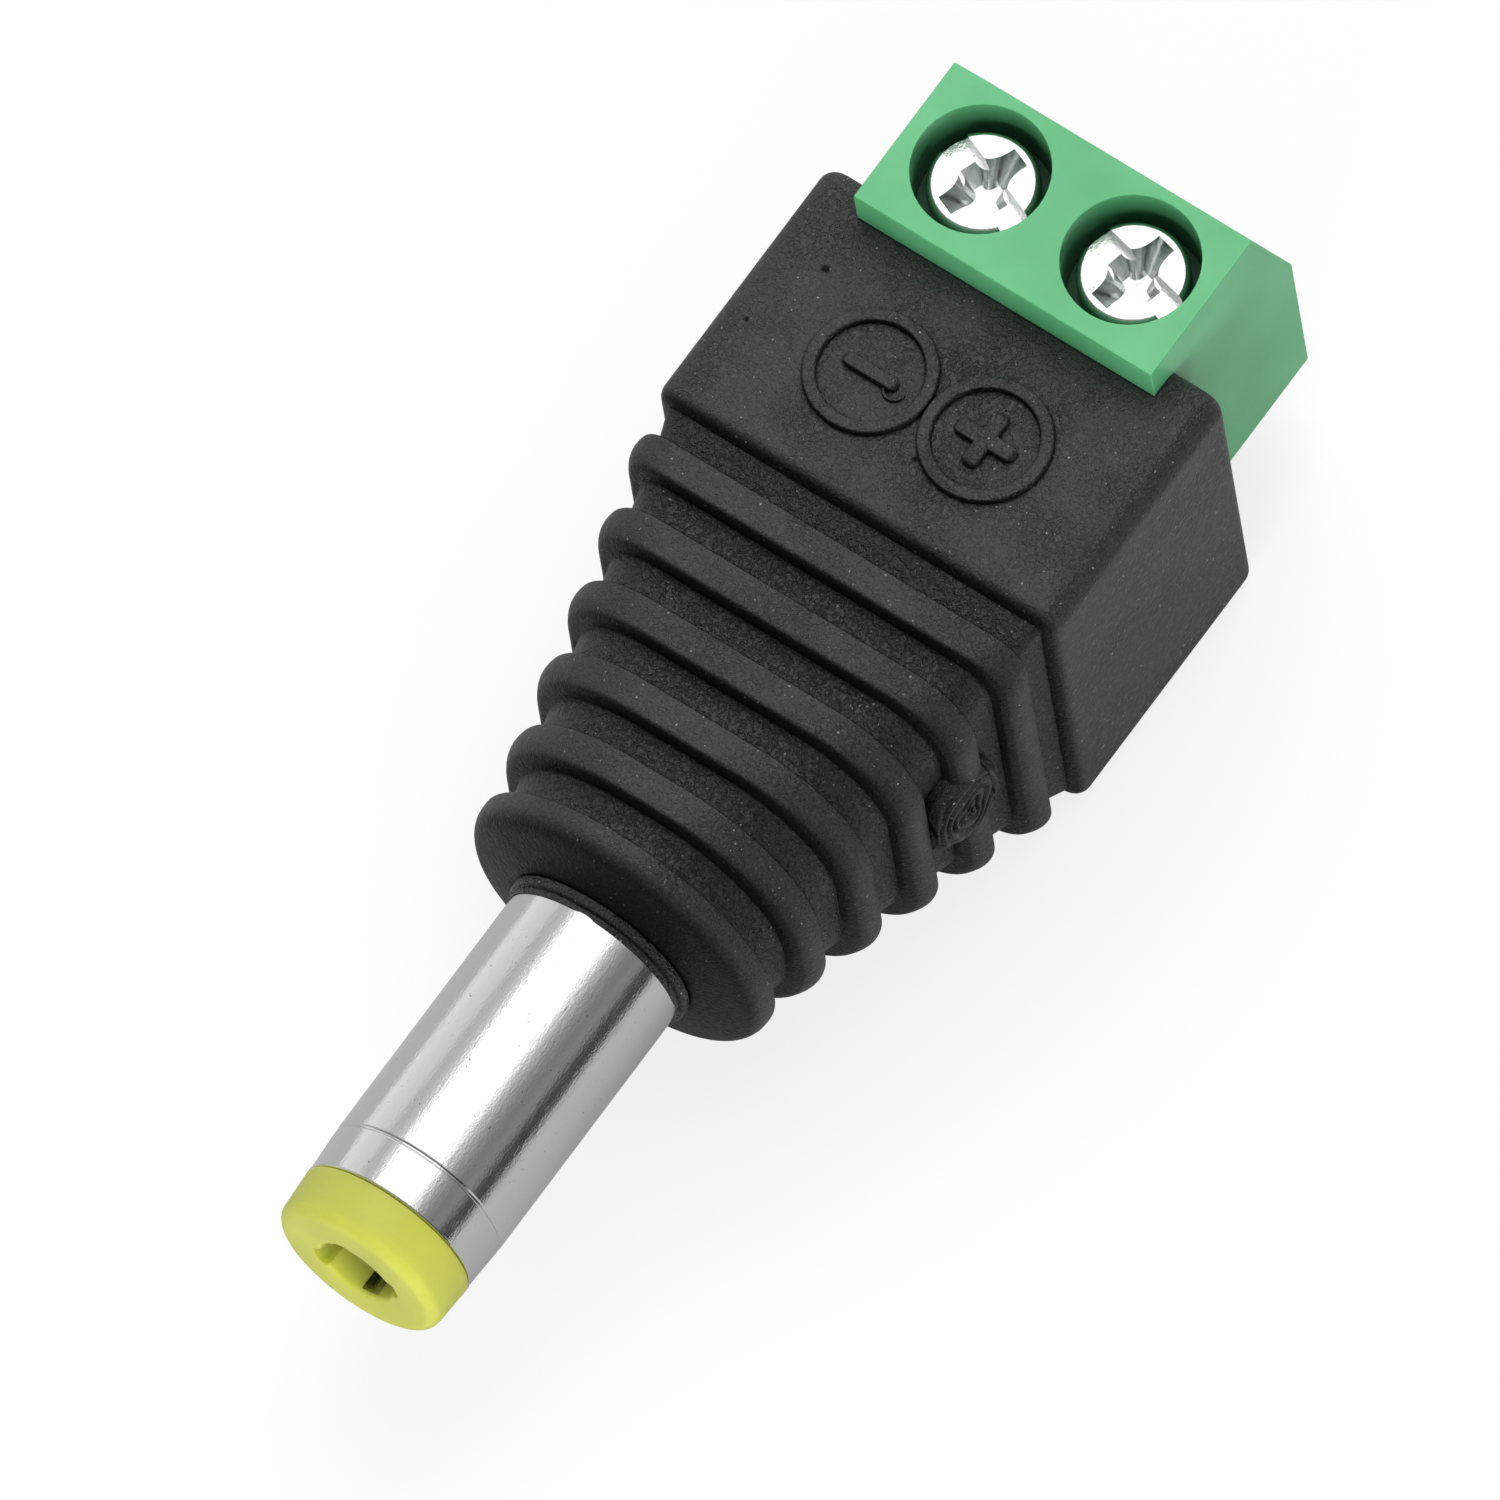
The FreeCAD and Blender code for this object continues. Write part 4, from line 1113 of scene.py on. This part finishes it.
mixed = add(tree, "ShaderNodeMixShader", {0: share, 1: lit, 2: plain})
add(tree, "ShaderNodeOutputMaterial", {"Surface": mixed}, out=None)
floor.data.materials.append(paper)
print("floor top at", FLOOR_TOP / MM, "mm")

# %% World
ROOM = (
    (-180, 0.98), (-90, 0.75), (-25, 0.4), (-5, 0.18), (6, 0.06), (15, 0.08), (23, 0.3), (36, 0.22),
    (50, 0.34), (62, 0.7), (118, 0.75), (131, 0.62), (138, 0.5), (145, 0.76), (160, 0.82), (180, 0.98),
)
world = bpy.data.worlds.new("studio")
bpy.context.scene.world = world
world.use_nodes = True
tree = world.node_tree
tree.nodes.clear()
direction = add(tree, "ShaderNodeTexCoord", out="Generated")
direction = add(tree, "ShaderNodeSeparateXYZ", {0: direction}, out=None).outputs
angle = calc(tree, "ARCTAN2", direction["Z"], direction["Y"])
turn = mapped(tree, angle, -math.pi, math.pi)
room = ramp(tree, turn, [((degrees + 180) / 360, (grey, grey, grey, 1)) for degrees, grey in ROOM])
front = mapped(tree, direction["X"], 0.0, 0.35, 1.0, 0.35)
walls = add(tree, "ShaderNodeBackground", {"Color": room, "Strength": front})
white = add(tree, "ShaderNodeBackground", {"Color": (1, 1, 1, 1), "Strength": 1.0})
ray = add(tree, "ShaderNodeLightPath", out=None).outputs
mixed = add(tree, "ShaderNodeMixShader", {0: ray["Is Camera Ray"], 1: walls, 2: white})
add(tree, "ShaderNodeOutputWorld", {"Surface": mixed}, out=None)
print("the room has", len(ROOM), "greys round the plug's axis")

# %% Soft boxes
def soft_box(name, place, size, watts):
    """A rectangular area lamp that faces the middle of the plug; its first size runs along X."""
    lamp = bpy.data.lights.new(name, "AREA")
    lamp.shape = "RECTANGLE"
    lamp.size, lamp.size_y = size
    lamp.energy = watts
    made = bpy.data.objects.new(name, lamp)
    back = (Vector(place) - Vector((0, 0, AXIS_HEIGHT))).normalized()
    across = Vector((0, 1, 0)).cross(back).normalized()
    facing = Matrix((across, back.cross(across), back)).transposed().to_4x4()
    made.matrix_world = Matrix.Translation(place) @ facing
    bpy.context.scene.collection.objects.link(made)
    return made


soft_box("overhead", (-105 * MM, -11 * MM, 247 * MM), (0.22, 0.26), 0.138)
for name, place, size, watts in (
    ("key", (-149, -95, 211), (0.2, 0.2), 0.29),
    ("front", (254, 82, 62), (0.2, 0.1), 0.66),
    ("side", (81, 251, 62), (0.2, 0.1), 0.3),
):
    soft_box(name, [v * MM for v in place], size, watts).visible_glossy = False

# %% [markdown]
# The picture is shown as the scene computes it, with the plain sRGB view.

# %% View settings
bpy.context.scene.view_settings.view_transform = "Standard"
